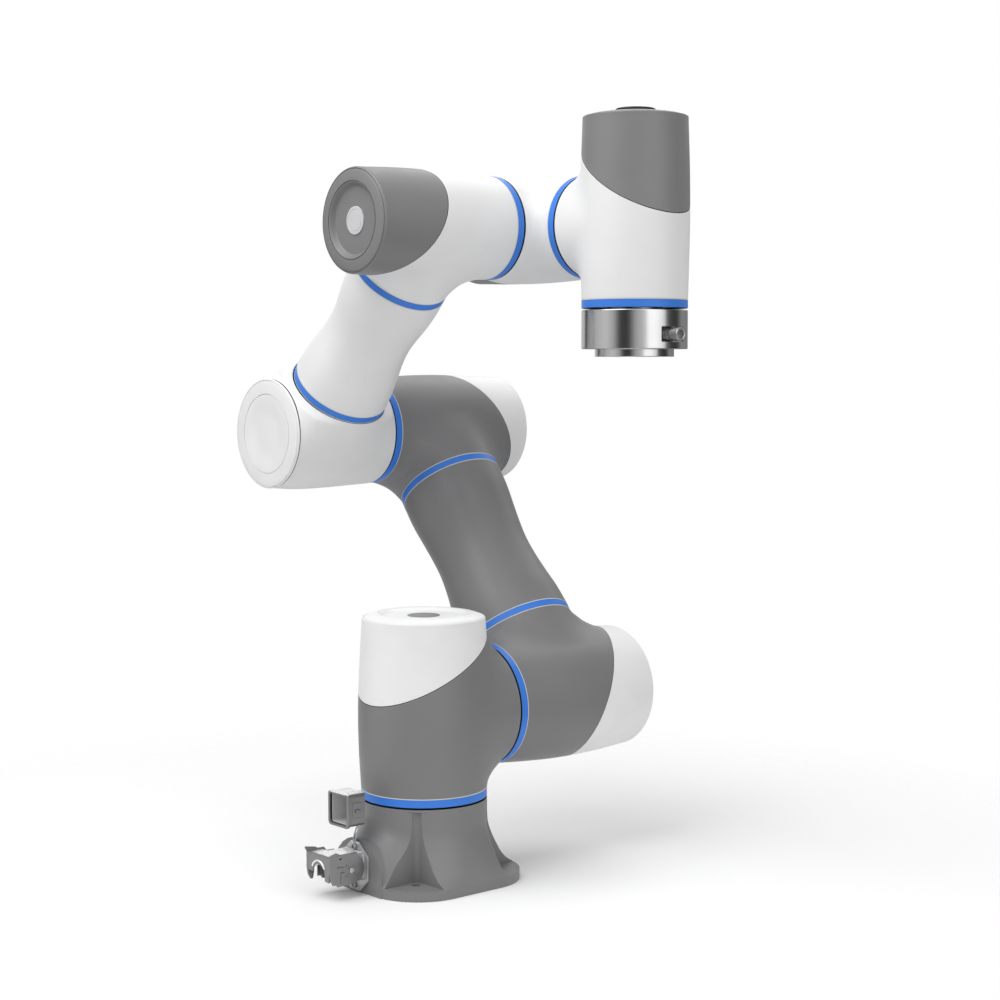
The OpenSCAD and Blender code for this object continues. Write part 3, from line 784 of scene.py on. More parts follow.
BOLT, BOLT_HOLE = 40, 3.3   # each bolt's distance from the axis along X and Y, its hole's radius
FLANGE = 8                  # thickness of the foot
POCKET, POCKET_ROUND = 7.1, 4   # each bolt's pocket: its walls' distance from the bolt, its corner
TOP_LIP = 2                 # height of the turned lip round the top
BOSS_HALF, BOSS_CENTRE = 31, 11.5   # the connector's arched boss: half its width, its arch's centre
BOSS_FILLET = 15
BASE_HUB, BASE_HUB_RISE = 27.3, 14.3
HOLLOW, ROOF = 40, 8        # radius of the hollow inside, thickness over it
PLUG_HEIGHT = joint_point("lever_swing")[2]
CASTING = AT_BASE.node("base_casting")
BASE_TOP = CASTING[:, 2].max() - BASE_HUB_RISE
FRONT = -CASTING[:, 1].min()
# Half the pedestal's width by height, across its corners and across its flats.
corner_flare = smooth_curve([8, 11.3, 14.4, 19, 24, 34, 44, 54], [77, 70, 66.2, 62.4, 59.7, 54.9, 51.6, 50.7])
flat_flare = smooth_curve([8, 13, 19, 25.5, 34, 44, 54], [67, 63.6, 60.4, 57.4, 54.2, 51.5, 50.7])


def base_field(p):
    """A pedestal of rounded squares and the connector's boss, less the pockets, holes and hollow."""
    x, y, z = p.T
    height = np.maximum(z, FLANGE)
    flat = flat_flare(height)
    corner = np.maximum(corner_flare(height), flat)
    round_to = (math.sqrt(2) * flat - corner) / (math.sqrt(2) - 1)
    a, b = np.abs(x) - flat + round_to, np.abs(y) - flat + round_to
    pedestal = np.hypot(np.maximum(a, 0), np.maximum(b, 0)) + np.minimum(np.maximum(a, b), 0) - round_to
    arch = np.where(z > BOSS_CENTRE, np.hypot(x, z - BOSS_CENTRE), np.abs(x)) - BOSS_HALF
    arch = np.maximum(arch, y + 20)
    fillet = BOSS_FILLET * ease(y + FRONT, BOSS_FILLET) + 1e-6
    body = np.maximum(fillet, np.minimum(pedestal, arch))
    body -= np.hypot(np.maximum(fillet - pedestal, 0), np.maximum(fillet - arch, 0))
    body = np.maximum(body, -y - FRONT)
    a, b = np.abs(x) - BOLT + POCKET, np.abs(y) - BOLT + POCKET
    pocket = np.hypot(np.maximum(POCKET_ROUND - a, 0), np.maximum(POCKET_ROUND - b, 0)) - POCKET_ROUND
    body = np.maximum(body, np.minimum(-pocket, z - FLANGE))
    body = np.maximum(body, BOLT_HOLE - np.hypot(np.abs(x) - BOLT, np.abs(y) - BOLT))
    radius = np.hypot(x, y)
    hollow = np.minimum(np.maximum(radius - HOLLOW, z - BASE_TOP + ROOF), radius - HUB_BORE)
    slot = np.maximum(np.maximum(np.abs(x) - 10, np.abs(z - PLUG_HEIGHT) - 9), y + 20)
    body = np.maximum(body, -np.minimum(hollow, slot))
    return np.maximum(np.maximum(body, -z), z - BASE_TOP + TOP_LIP)


def creased_net(field, low, high, step):
    """A net whose vertices also lie on the field's sharp edges."""
    points, quads = net(field, low, high, step, relax=0)
    samples, normals = [], []
    for axis in np.vstack([np.eye(3), -np.eye(3)]) * step * 0.55:
        at = settle(field, points + axis, 4)
        slope = gradient(field, at, 0.01)
        samples.append(at)
        normals.append(slope / np.maximum(np.linalg.norm(slope, axis=1), 1e-6)[:, None])
    samples, normals = np.stack(samples, 1), np.stack(normals, 1)
    alike = np.einsum("nic,njc->nij", normals, normals).min((1, 2))
    sharp = alike < math.cos(math.radians(24))
    mean = samples.mean(1)
    pull = 0.04
    matrix = np.einsum("nic,nid->ncd", normals, normals) + pull * np.eye(3)
    side = np.einsum("nic,ni->nc", normals, np.einsum("nic,nic->ni", normals, samples)) + pull * mean
    solved = np.linalg.solve(matrix, side[..., None])[..., 0]
    move = solved - points
    length = np.linalg.norm(move, axis=1)
    move *= np.minimum(1, 1.2 * step / np.maximum(length, 1e-6))[:, None]
    points[sharp] = points[sharp] + move[sharp]
    return points, split_quads(points, quads, sharp, 9 * step)


def base_shape():
    step = 1.25
    edge, low = 80, BASE_TOP - TOP_LIP
    points, triangles = creased_net(base_field, [-edge, -edge, -2], [edge, edge, BASE_TOP + 2], step)
    shape = Shape().add(points, triangles)
    # The lip's top face, under the gap to the shoulder's ring, is painted black as shade.
    lip = lathe([(HUB_BORE, low - 1), (49, low - 1), (float(flat_flare(low)), low),
                 *arc((float(flat_flare(BASE_TOP)) - 0.6, BASE_TOP - 0.6), 0.6, 0, 90, 4),
                 (HUB_BORE, BASE_TOP)], paint=[0] * 5 + [1, 1, 1, 0])
    hub_top = BASE_TOP + BASE_HUB_RISE
    hub = turned([(HUB_BORE, BASE_TOP - 1), (BASE_HUB, BASE_TOP - 1), (BASE_HUB, hub_top, 0.6),
                  (HUB_BORE, hub_top, 0.6)])
    # The hub, seen only through that gap, is painted black as shade.
    return shape.join(lip).join(hub, paint=1)


# ---- Cable connector ----

PLATE_HEIGHT, PLATE_THICKNESS = 20.9, 2.2
HOOD = (27, 21.8)
HOOD_ROOT = -FRONT - PLATE_THICKNESS
HOOD_END = AT_BASE.node("connector_shell")[:, 1].min() + 1.5
PIVOT = joint_point("lever_swing")
SCREW_RISE = 15.2
ACROSS, UPWARD = [1, 0, 0], [0, 0, 1]


def outward(y, z):
    """A plate's place on the connector, with its thickness towards -Y."""
    return ([0, y, z], ACROSS, UPWARD)


def along_x(shape, centre):
    """A turned shape with its axis along X."""
    points = shape.points
    shape.points = np.stack([points[:, 2], points[:, 0], points[:, 1]], 1) + centre
    return shape


def facing_out(shape, centre):
    """A turned shape with its axis along -Y."""
    points = shape.points
    shape.points = np.stack([points[:, 0], -points[:, 2], points[:, 1]], 1) + centre
    return shape


def connector_shell_shape():
    w, h = HOOD[0] / 2 + 3.2, 19.5
    outline = rounded([(-6, -h, 2), (6, -h, 2), (w, 10 - h, 2.5), (w, h - 10.5, 2.5), (5, h, 2),
                       (-5, h, 2), (-w, h - 10.5, 2.5), (-w, 10 - h, 2.5)], 5)
    holes = [circle_outline(1.7, (0, s * SCREW_RISE)) for s in (-1, 1)]
    holes.append(box_outline(HOOD[0] - 4, HOOD[1] - 4, 2, PLUG_HEIGHT - PLATE_HEIGHT))
    shape = plate(outline, PLATE_THICKNESS, holes, 0.55, outward(-FRONT, PLATE_HEIGHT))
    inner = box_outline(HOOD[0] - 4, HOOD[1] - 4, 2)
    shape.join(plate(box_outline(HOOD[0] + 0.4, HOOD[1] + 0.6, 3.4), 2.6, [inner], 0.9,
                     outward(HOOD_ROOT + 0.3, PLUG_HEIGHT)))
    shape.join(plate(box_outline(*HOOD, 3), HOOD_ROOT - HOOD_END + 0.2, [inner], 0.5,
                     outward(HOOD_ROOT + 0.2, PLUG_HEIGHT)))
    for s in (-1, 1):
        pin = turned([(0, 0), (2, 0), (2, 3.1, 0.35), (0, 3.1)], 32)
        head = turned([(0, 2.9), (2.2, 2.9, 0.2), (2.2, 3.5, 0.4), (0, 3.5)], 32)
        for part in (pin, head):
            part.points[:, 2] = part.points[:, 2] * s
            if s < 0:
                part.faces = [face[::-1] for face in part.faces]
            shape.join(along_x(part, [s * (HOOD[0] / 2 - 0.4), PIVOT[1], PIVOT[2]]))
    for s in (-1, 1):
        rib = plate(rounded([(-1.1, 0, 0.3), (1.1, 0, 0.3), (1.1, 1.5, 0.4), (-1.1, 1.5, 0.4)], 3), 14,
                    (), 0.2, ([s * 7.5, HOOD_ROOT - 2, PLUG_HEIGHT - HOOD[1] / 2 - 1.2], ACROSS, UPWARD))
        shape.join(rib)
    # The hood's top faces take a lighter metal: a painted highlight of the light from above.
    for k, face in enumerate(shape.faces):
        corners = shape.points[list(face)]
        if corners[:, 2].min() > PLUG_HEIGHT + HOOD[1] / 2 - 0.3 and corners[:, 1].max() < HOOD_ROOT + 0.3:
            shape.paint[k] = 1
    return shape


def connector_insert_shape():
    w, h = HOOD[0] - 4.6, HOOD[1] - 4.6
    holes = [circle_outline(1.2, (4 * i, 4 * s), 20) for i in range(-2, 3) for s in (-1, 1)]
    body = plate(box_outline(w, h, 1.7), 18, holes, 0.4, outward(HOOD_ROOT + 2, PLUG_HEIGHT))
    for s in (-1, 1):
        body.join(block((w - 3, 1.2), 0.4, 5, 0.2, outward(HOOD_ROOT - 14, PLUG_HEIGHT + s * 6.6)))
    return body


def screw_shape(centre):
    """A cheese-head screw with a hexagon socket."""
    head, socket = 2.3, 1.3
    hexagon = [(socket * math.cos(math.radians(60 * k)), socket * math.sin(math.radians(60 * k)))
               for k in range(6)]
    shape = plate(circle_outline(head, steps=36), 1.1, [hexagon], 0.3, outward(-0.9, 0))
    shape.join(plate(circle_outline(head, steps=36), 0.7, (), 0.1, outward(-0.2, 0)))
    shape.join(facing_out(turned([(0, -2.2), (1.5, -2.2, 0.2), (1.5, 0.3), (0, 0.3)], 24), [0, 0, 0]))
    shape.points = shape.points + centre
    return shape


def mirrored(shape):
    """A shape reflected to the other side of the connector."""
    shape.points = shape.points * [-1, 1, 1]
    shape.faces = [face[::-1] for face in shape.faces]
    return shape


def lever_arm(front, top, sheet, lip, below, heel):
    """A broad side arm with a claw at its front corner. lip is the outline of its top front end,
    below is its lower edge between the claw and the pivot, and heel is its top above the pivot."""
    pivot_y, pivot_z = PIVOT[1:]
    reach = 12.6
    side = HOOD[0] / 2 + 0.6
    outline = [(pivot_y + reach * math.cos(a), pivot_z + reach * math.sin(a))
               for a in np.radians(np.arange(-42, 43, 6))]
    outline += rounded([*heel, (front + 10.4, top, 0.8), *lip, (front, 23, 6),
                        (front + 1, 17, 3), (front + 3.3, 12.8, 1.2), (front + 5.4, 13, 1), *below,
                        (pivot_y + 5, 11.4, 2)], 4)
    slot = rounded([(front + 9, top - 3.4, 0.5), (front + 11, top - 4, 0.5), (front + 11.6, top - 2.2, 0.5),
                    (front + 9.4, top - 1.2, 0.5)], 3)
    arm = plate(outline, sheet, [circle_outline(2.08, (pivot_y, pivot_z), 32), slot], 0.3,
                ([side, 0, 0], [0, 1, 0], [0, 0, 1]))
    face = side + sheet - 0.3
    bars = [((front + 12, 18), 90, 8.8, 3.2), ((front + 10.3, 26.2), -4, 6.2, 1.2)]
    bars += [((pivot_y + 3.4 * x, pivot_z + 3.4 * z), 45 * x * z, 3.4, 1.3) for x in (-1, 1) for z in (-1, 1)]
    for centre, turn, length, width in bars:
        c, n = math.cos(math.radians(turn)), math.sin(math.radians(turn))
        arm.join(block((length, width), 0.5, 1.0, 0.35, ([face, *centre], [0, c, n], [0, -n, c])))
    return arm


def lever_shape():
    """The bail: two side arms on the pivots, a top sheet, and a front with an arch for the plug."""
    sheet, side = 1.5, HOOD[0] / 2 + 0.6
    front = AT_BASE.node("connector_lever")[:, 1].min() + sheet + 1.2
    top = PLUG_HEIGHT + HOOD[1] / 2 + 2.6
    grip = [(front + 8, top + 1.4, 1), (front - 1.4, top + 3, 0.6), (front - 1.8, top + 1.8, 0.4),
            (front, top - 0.8, 1.2)]
    arched = [(front + 6.5, 18, 2), (front + 6.5, 24, 1.5), (front + 9, 27, 1.5), (front + 11.5, 26.4, 1.5),
              (front + 13, 22, 1.5), (front + 13.4, 13, 1.2), (front + 15, 11.4, 1)]
    notched = [(front + 6.2, 14, 0.6), (front + 7.4, 11.4, 0.8)]
    low = [(PIVOT[1] + 7, top - 3.2, 2), (PIVOT[1] - 1.5, top - 3.2, 1), (PIVOT[1] - 4.5, top, 1)]
    shape = mirrored(lever_arm(front, top, sheet, grip, arched, low))
    shape.join(lever_arm(front, top, sheet, [(front + 6.4, top + 2, 1), (front, top + 0.4, 1)], notched,
                         [(PIVOT[1] + 7, top, 3)]))
    half = side + 0.1
    back = PIVOT[1] - 5.4
    length = back - (front + 2)
    roof = rounded([(-half, 0, 1), (half, 0, 1), (half, length, 1), (half - 6, length - 0.4, 2),
                    (0, length - 3, 8), (-half + 6, length - 0.4, 2), (-half, length, 1)], 5)
    sheet_top = plate(roof, sheet, (), 0.35, ([0, back, top - sheet], ACROSS, [0, -1, 0]))
    # The top sheet takes a lighter metal: a painted highlight of the light from above.
    shape.join(sheet_top, paint=1)
    arch = [(0.6 + 8 * math.cos(a), 20.8 + 6.8 * math.sin(a)) for a in np.radians(np.arange(180, -1, -12))]
    leg = [(8.6, 16), (half - 0.7, 15.3), (half, 16), (half, top - 1), (half - 0.6, top - 0.4)]
    outline = arch + leg + [(-half + 0.6, top - 0.4), (-half, top - 1), (-half, 22.5), (-half + 0.8, 21.6)]
    shape.join(plate(outline, sheet, (), 0.35, ([0, front + sheet, 0], ACROSS, UPWARD)))
    # A thin rib along the top of the arch, painted light as a highlight on its bend.
    bow = [[0.6 + 8.4 * math.cos(a), front - 0.1, 22.6 + 8.2 * math.sin(a)]
           for a in np.radians(np.arange(20, 161, 7))]
    highlight_rod = rod(bow, 0.75, 12)
    return shape.join(highlight_rod, paint=1)


def dust_cap_shape():
    node = AT_BASE.node("dust_cap")
    low, high = node.min(0), node.max(0)
    size = high - low
    centre = (0, (low[2] + high[2]) / 2)
    outer = (size[0] - 1.6, size[2] - 1.6)
    hollow = box_outline(size[0] - 4.6, size[2] - 4.6, 2.2)
    shape = plate(box_outline(*outer, 3.2), size[1] - 0.4, [hollow], 0.6, outward(high[1], centre[1]))
    # The back wall and the sleeve in the hollow take a light grey: painted light in the cap's shaded hollow.
    back = block((outer[0] - 0.8, outer[1] - 0.8), 3, 1.8, 0.6, outward(high[1] + 0.02, centre[1]))
    painted_light_sleeve = plate(hollow, size[1] - 2.6, [box_outline(size[0] - 5.6, size[2] - 5.6, 1.8)], 0.2,
                   outward(high[1] - 0.3, centre[1]))
    shape.join(back.join(painted_light_sleeve), paint=2)
    shape.join(plate(box_outline(size[0], size[2], 3.6), 3.0, [hollow], 0.75,
                     outward(low[1] + 3, centre[1])))
    for s in (-1, 1):
        panel = block((8.6, 12), 0.7, 0.5, 0.35,
                      ([s * (outer[0] / 2 - 0.1), (low[1] + high[1]) / 2 + 1, centre[1]], [0, s, 0], UPWARD))
        peg = plate(rounded([(-2.6, -1.1, 0.8), (1.6, -1.9, 0.8), (2.8, 0.9, 0.8), (-1.8, 1.7, 0.8)], 4),
                    1.2, (), 0.5, ([s * (outer[0] / 2 + 0.3), (low[1] + high[1]) / 2 + 1, centre[1] - 0.6],
                                   [0, s, 0], [0, 0, 1]))
        shape.join(panel).join(peg)
    for x in (-5.2, 5.2):
        shape.join(block((1.2, 0.9), 0.3, size[1] - 4, 0.2,
                         ([x, high[1] - 0.4, high[2] - 0.9], ACROSS, UPWARD)))
    # The cap's top faces take a lighter metal: a painted highlight of the light from above.
    for k, face in enumerate(shape.faces):
        if shape.paint[k] == 0 and shape.points[list(face), 2].min() > high[2] - 1.9:
            shape.paint[k] = 1
    return shape


def cord_shape():
    """A wire eye under the upper screw, and two strands that rise to the dust cap's corner."""
    y = HOOD_ROOT - 0.45
    screw = PLATE_HEIGHT + SCREW_RISE
    cap_low = AT_BASE.node("dust_cap")[:, 2].min()
    eye = [[2.05 * math.sin(a), y, screw - 2.05 * math.cos(a)] for a in np.radians(np.arange(0, 361, 15))]
    shape = rod(eye, 0.45, 10)
    for side in (-1, 1):
        strand = [[0.3, y, screw + 2.6], [0.9 + 1.3 * side, y - 0.2, screw + 6.4],
                  [3.2 + 1.6 * side, y - 0.2, cap_low - 6], [5.6 + 0.6 * side, y - 0.3, cap_low + 0.6]]
        shape.join(rod(smooth_path(strand), 0.6, 12))
    ferrule = rod([[0, y, screw + 1.9], [0.1, y - 0.05, screw + 3], [0.4, y - 0.1, screw + 4.4]], 1.05, 16)
    return shape.join(ferrule)


# ---- Tool flange and its connector ----

TOOL = AT_WRIST_2.node("tool_flange")
TOOL_FACE = TOOL[:, 2].min()
TOOL_RADIUS = np.hypot(TOOL[:, 0], TOOL[:, 1]).max()
BOSS_RADIUS, BOSS_RISE = 31.5, 6
POCKET_FLOOR = 34
SOCKET = (-5.0, -87.5)     # the round connector's place across and above the wrist's centre


def tool_flange_shape():
    top = -66.8 - 1.3
    shoulder = TOOL_FACE + BOSS_RISE
    profile = [(11, TOOL_FACE + 14), (15.75, TOOL_FACE + 6.5), (15.75, TOOL_FACE + 0.5),
               (16.25, TOOL_FACE), (BOSS_RADIUS, TOOL_FACE, 0.5), (BOSS_RADIUS, shoulder, 0.35),
               (TOOL_RADIUS, shoulder, 0.7), (TOOL_RADIUS, top, 1.0), (27.3 * 0.82, top),
               (27.3 * 0.82, top + 14.3, 0.5), (11, top + 14.3, 0.5)]
    body = turned(profile, 192)
    cutters = []
    for k in range(4):
        a = math.radians(45 + 90 * k)
        hole = turned([(0, TOOL_FACE - 2), (3.1, TOOL_FACE - 2), (3.1, TOOL_FACE + 0.01),
                       (2.5, TOOL_FACE + 0.6), (2.5, TOOL_FACE + 10), (0, TOOL_FACE + 10.8)], 32)
        hole.points[:, :2] += 25 * np.array([math.cos(a), math.sin(a)])
        cutters.append(hole)
    pin = turned([(0, TOOL_FACE - 2), (3.5, TOOL_FACE - 2), (3.5, TOOL_FACE + 0.01), (3, TOOL_FACE + 0.5),
                  (3, TOOL_FACE + 6), (0, TOOL_FACE + 6)], 32)
    pin.points[:, 0] += 25
    cutters.append(pin)
    across = rounded([(-14, -93.6, 0.8), (11, -93.6, 0.8), (11, -81.5, 0.8), (-14, -81.5, 0.8)], 4)
    cutters.append(plate(across, 20, (), 0.01, ([-POCKET_FLOOR - 20, 0, 0], [0, 1, 0], [0, 0, 1])))
    made = carved(body, cutters)
    # The flange's top face, in the gap under the wrist, is painted black as shade.
    for k, face in enumerate(made.faces):
        heights = made.points[list(face), 2]
        if np.abs(heights - top).max() < 0.01:
            made.paint[k] = 1
    return made


def tool_connector_shape():
    """A round cable connector: nut, threaded neck and collar with a dark socket."""
    rows = [(0, -6), (2.9, -6), (2.9, 0), (5.1, 0), (5.35, 0.3), (5.35, 2.1), (5.1, 2.4), (4.1, 2.5)]
    for k in range(5):
        z = 3.4 + 1.15 * k
        rows += [(4.2, z), (4.75, z + 0.35), (4.75, z + 0.6), (4.2, z + 0.9)]
    rows += [(4.0, 9.3), (4.9, 9.5), (5.25, 9.85), (5.25, 11.9), (4.95, 12.35), (4.3, 12.5), (3.9, 12.45),
             (3.55, 12.1), (3.4, 8.6), (0, 8.6)]
    body = lathe(rows, 72)
    for k in range(5):
        a = 2 * math.pi * k / 5
        contact = turned([(0, 8.4), (0.5, 8.4), (0.5, 11.4, 0.3), (0, 11.4)], 12)
        contact.points[:, :2] += 1.9 * np.array([math.cos(a), math.sin(a)])
        body.join(contact)
    points = body.points
    body.points = np.stack([-points[:, 2] - POCKET_FLOOR, points[:, 1] + SOCKET[0],
                            points[:, 0] + SOCKET[1]], 1)
    return body


# ---- Materials ----

def linear(red, green, blue):
    """A colour given in sRGB steps of 0 to 255, as Blender's linear values."""
    out = []
    for value in (red, green, blue):
        v = value / 255
        out.append(v / 12.92 if v <= 0.04045 else ((v + 0.055) / 1.055) ** 2.4)
    return (*out, 1)


class Finish:
    """A material's node tree, built a node at a time from object coordinates in metres."""

    def __init__(self, name, **values):
        self.material = bpy.data.materials.new(name)
        self.material.use_nodes = True
        self.tree = self.material.node_tree
        self.surface = self.tree.nodes["Principled BSDF"]
        self.place = self.node("ShaderNodeTexCoord").outputs["Object"]
        self.set(**values)

    def set(self, **values):
        for key, value in values.items():
            self.put(self.surface, key.replace("_", " "), value)

    def put(self, node, key, value):
        socket = node.inputs[key]
        if isinstance(value, bpy.types.NodeSocket):
            self.tree.links.new(value, socket)
        else:
            socket.default_value = value

    def node(self, kind, settings=None, **inputs):
        made = self.tree.nodes.new(kind)
        for key, value in (settings or {}).items():
            setattr(made, key, value)
        for key, value in inputs.items():
            key = int(key[1:]) if key[0] == "i" and key[1:].isdigit() else key.replace("_", " ")
            self.put(made, key, value)
        return made

    def noise(self, scale, detail=2, stretch=None):
        place = self.place
        if stretch:
            scaled = self.node("ShaderNodeVectorMath", {"operation": "MULTIPLY"}, i0=place, i1=stretch)
            place = scaled.outputs[0]
        return self.node("ShaderNodeTexNoise", Vector=place, Scale=scale, Detail=detail).outputs["Fac"]

    def range(self, value, low, high, start=0.3, end=0.7):
        return self.node("ShaderNodeMapRange", Value=value, From_Min=start, From_Max=end, To_Min=low,
                         To_Max=high).outputs[0]

    def mix(self, share, first, second):
        made = self.node("ShaderNodeMix", {"data_type": "RGBA"})
        self.put(made, 0, share)
        self.put(made, 6, first)
        self.put(made, 7, second)
        return made.outputs[2]

    def bump(self, height, distance, strength=1.0, under=None):
        made = self.node("ShaderNodeBump", Height=height, Distance=distance, Strength=strength)
        if under:
            self.put(made, "Normal", under)
        return made.outputs["Normal"]


def shade(colour, factor):
    return (colour[0] * factor, colour[1] * factor, colour[2] * factor, 1)


def paint(name, colour, roughness):
    """Satin paint on a casting: slight cloudiness, uneven gloss and a fine orange-peel skin."""
    f = Finish(name, Specular_IOR_Level=0.36, Coat_Weight=0.03, Coat_Roughness=0.3)
    cloud = f.range(f.noise(14, 4), 0, 1)
    f.set(Base_Color=f.mix(cloud, shade(colour, 0.965), shade(colour, 1.03)))
    f.set(Roughness=f.range(f.noise(55, 3), roughness - 0.035, roughness + 0.045))
    skin = f.bump(f.noise(1500, 2), 0.0000192)
    f.set(Normal=f.bump(f.noise(420, 1), 0.000036, 1.0, skin))
    return f.material


def moulded(name, colour, roughness=0.5, grain=0.00001):
    """Moulded plastic with a fine spark-eroded texture."""
    f = Finish(name, Specular_IOR_Level=0.4)
    cloud = f.range(f.noise(22, 3), 0, 1)
    f.set(Base_Color=f.mix(cloud, shade(colour, 0.97), shade(colour, 1.03)))
    f.set(Roughness=f.range(f.noise(90, 2), roughness - 0.04, roughness + 0.05))
    f.set(Normal=f.bump(f.noise(2600, 3), grain))
    return f.material


def metal(name, colour, roughness=0.3, anisotropy=0.0, lines=None, grain=0.000002, metallic=1.0):
    """Bare metal with fine tool marks. lines stretches them along a direction."""
    f = Finish(name, Metallic=metallic)
    marks = f.noise(1.0 if lines else 900, 3, lines)
    cloud = f.range(f.noise(30, 3), 0, 1)
    f.set(Base_Color=f.mix(cloud, shade(colour, 0.96), shade(colour, 1.03)))
    f.set(Roughness=f.range(marks, roughness - 0.02, roughness + 0.03))
    f.set(Normal=f.bump(marks, grain))
    if anisotropy:
        tangent = f.node("ShaderNodeTangent", {"direction_type": "RADIAL", "axis": "Z"})
        f.set(Anisotropic=anisotropy, Tangent=tangent.outputs[0])
    return f.material


def winding(name):
    """Enamelled copper turns, seen as fine ridges round the stator."""
    f = Finish(name, Metallic=0.85, Coat_Weight=0.4, Coat_Roughness=0.2)
    ridge = f.node("ShaderNodeTexWave", {"bands_direction": "DIAGONAL"}, Vector=f.place, Scale=420,
                   Distortion=1.5, Detail=2).outputs["Fac"]
    f.set(Base_Color=f.mix(ridge, linear(120, 62, 30), linear(205, 122, 66)), Roughness=0.36)
    f.set(Normal=f.bump(ridge, 0.0002, 0.8))
    return f.material


def circuit(name):
    """A green board: masked copper tracks under solder resist."""
    f = Finish(name, Coat_Weight=0.3, Coat_Roughness=0.25)
    cells = f.node("ShaderNodeTexVoronoi", {"feature": "DISTANCE_TO_EDGE"}, Vector=f.place, Scale=260)
    track = f.range(cells.outputs["Distance"], 1, 0, 0.06, 0.1)
    f.set(Base_Color=f.mix(track, linear(24, 84, 50), linear(52, 128, 78)), Roughness=0.42)
    f.set(Normal=f.bump(track, 0.00004))
    return f.material


def cable(name):
    """A black jacket with a fine matt weave."""
    f = Finish(name, Specular_IOR_Level=0.3)
    weave = f.node("ShaderNodeTexWave", {"bands_direction": "DIAGONAL"}, Vector=f.place, Scale=700,
                   Distortion=0.6).outputs["Fac"]
    f.set(Base_Color=f.mix(weave, linear(20, 20, 22), linear(38, 38, 41)))
    f.set(Roughness=f.range(weave, 0.5, 0.7, 0, 1), Normal=f.bump(weave, 0.00005))
    return f.material


DARK_PAINT = paint("Dark grey paint", linear(124, 124, 125), 0.42)
WHITE_PAINT = paint("White paint", linear(233, 233, 233), 0.4)
DARK_COVER = moulded("Dark grey cover", linear(128, 128, 129), 0.42)
WHITE_COVER = moulded("White cover", linear(236, 236, 236), 0.42)
BLUE = moulded("Blue ring", linear(55, 124, 220), 0.4, 0.000006)
GASKET = moulded("Gasket line", linear(222, 216, 196), 0.7)
FLANGE_METAL = metal("Turned flange", linear(192, 192, 193), 0.2, 0.3, (90, 90, 9000), 0.0000004)
CAST_METAL = metal("Connector casting", linear(186, 186, 187), 0.34, metallic=0.7)
SHEET_METAL = metal("Connector sheet", linear(132, 132, 133), 0.3, metallic=0.7)
# A light metal that paints the highlight of the light from above onto the connector's and dust cap's top
# faces and the lever's top.
HIGHLIGHT_SHEET_METAL = metal("Sheet with painted highlight", linear(244, 244, 245), 0.26, grain=0.0000004, metallic=0.35)
# A light grey that paints light into the dust cap's shaded hollow.
CAP_PAINTED_LIGHT = moulded("Cap with painted light", linear(196, 196, 196), 0.45)
STEEL = metal("Steel", linear(176, 178, 182), 0.3, 0, (220, 220, 5200))
WIRE = metal("Steel wire", linear(176, 177, 179), 0.35, metallic=0.8)
# Black for the real black plastic parts, and painted shade on faces inside joint gaps and seams and on the
# hubs seen through them.
BLACK_AND_GAP_SHADE = moulded("Black plastic and gap shade", linear(30, 30, 32), 0.48)
BADGE_DARK = moulded("Grey badge", linear(132, 132, 134), 0.38)
BADGE_LIGHT = moulded("Light badge", linear(206, 206, 208), 0.36)


# ---- Pieces ----

BUTTON_RADIUS, BUTTON_STEM = 16, 12.5
COVER_WALL = 5
PAINTS = {"dark": DARK_PAINT, "white": WHITE_PAINT}
COVERS = {"dark": DARK_COVER, "white": WHITE_COVER}

# Each housing's body, wall, paint, hub as (shape, radius of the drive it turns), its cover's colour
# and the sizes in which its cover differs.
ARM = {
    "shoulder": ("shoulder", 6.7, "dark", (branch_hub, 44), "white", {"depth": 2.5, "floor": 0.6}),
    "joint_2": ("upper_arm", 6.2, "dark", None, "white", {}),
    "joint_3": ("upper_arm", 7.7, "dark", None, "white", {}),
    "elbow": ("forearm", 5, "white", (foot_hub, 38), "white",
              {"end": 2.4, "corner": 1.6, "crown": 0.6, "dish": 0.7, "depth": 1.6, "floor": 0.3}),
    "joint_4": ("forearm", 6, "white", None, "dark", {"crown": 1.2, "depth": 4, "floor": 0.62}),
    "wrist_1": ("wrist_1", 5.8, "white", (branch_hub, 36), "dark", {"crown": 1.2}),
    "wrist_2": ("wrist_2", 6.2, "white", (branch_hub, 36), "dark",
                {"hole": BUTTON_RADIUS + 0.3, "crown": 1.8, "corner": 1.2}),
}
# Each tube's place, body, paint, radii between its rings, and bore.
TUBES = {
    "upper_arm": (AT_UPPER_ARM, "dark", (47.6, 44.8, 42.4, 41.3, 42.2, 43.9, 45.6), 40),
    "forearm": (AT_FOREARM, "white", (40.6, 38.6, 36.4, 35.5, 36.8, 39.1, 40.5), 34.5),
}


def make_cover(h, body, colour, end=COVER_WALL, **face):
    bore = face.get("hole", 0)
    shape = cover_shape(h, COVER_WALL, end, end_face(h.rim_radius, **face), bore)
    if bore:
        step, under, ledge = BUTTON_STEM + 0.4, h.cap - COVER_WALL, h.cap - 5.7
        shape.join(turned([(step, under - 3.4), (bore + 3.6, under - 3.4, 0.4), (bore + 3.6, under + 0.3),
                           (bore, under + 0.3), (bore, ledge), (step, ledge)]))
    build(h.key + "_cover", shape, h.place, body, colour + "_cover", [COVERS[colour], BLACK_AND_GAP_SHADE])


def make_ring(name, place, body, low_line=False, bore=None):
    """A blue ring, with a gasket line at its high end and at its low end if that is fixed too."""
    node = place.node(name)
    outer = np.hypot(node[:, 0], node[:, 1]).max()
    shape = band_ring(outer, bore or outer - 3, node[:, 2].min(), node[:, 2].max(), low_line)
    build(name, shape, place, body, "blue_ring", [BLUE, GASKET, BLACK_AND_GAP_SHADE])


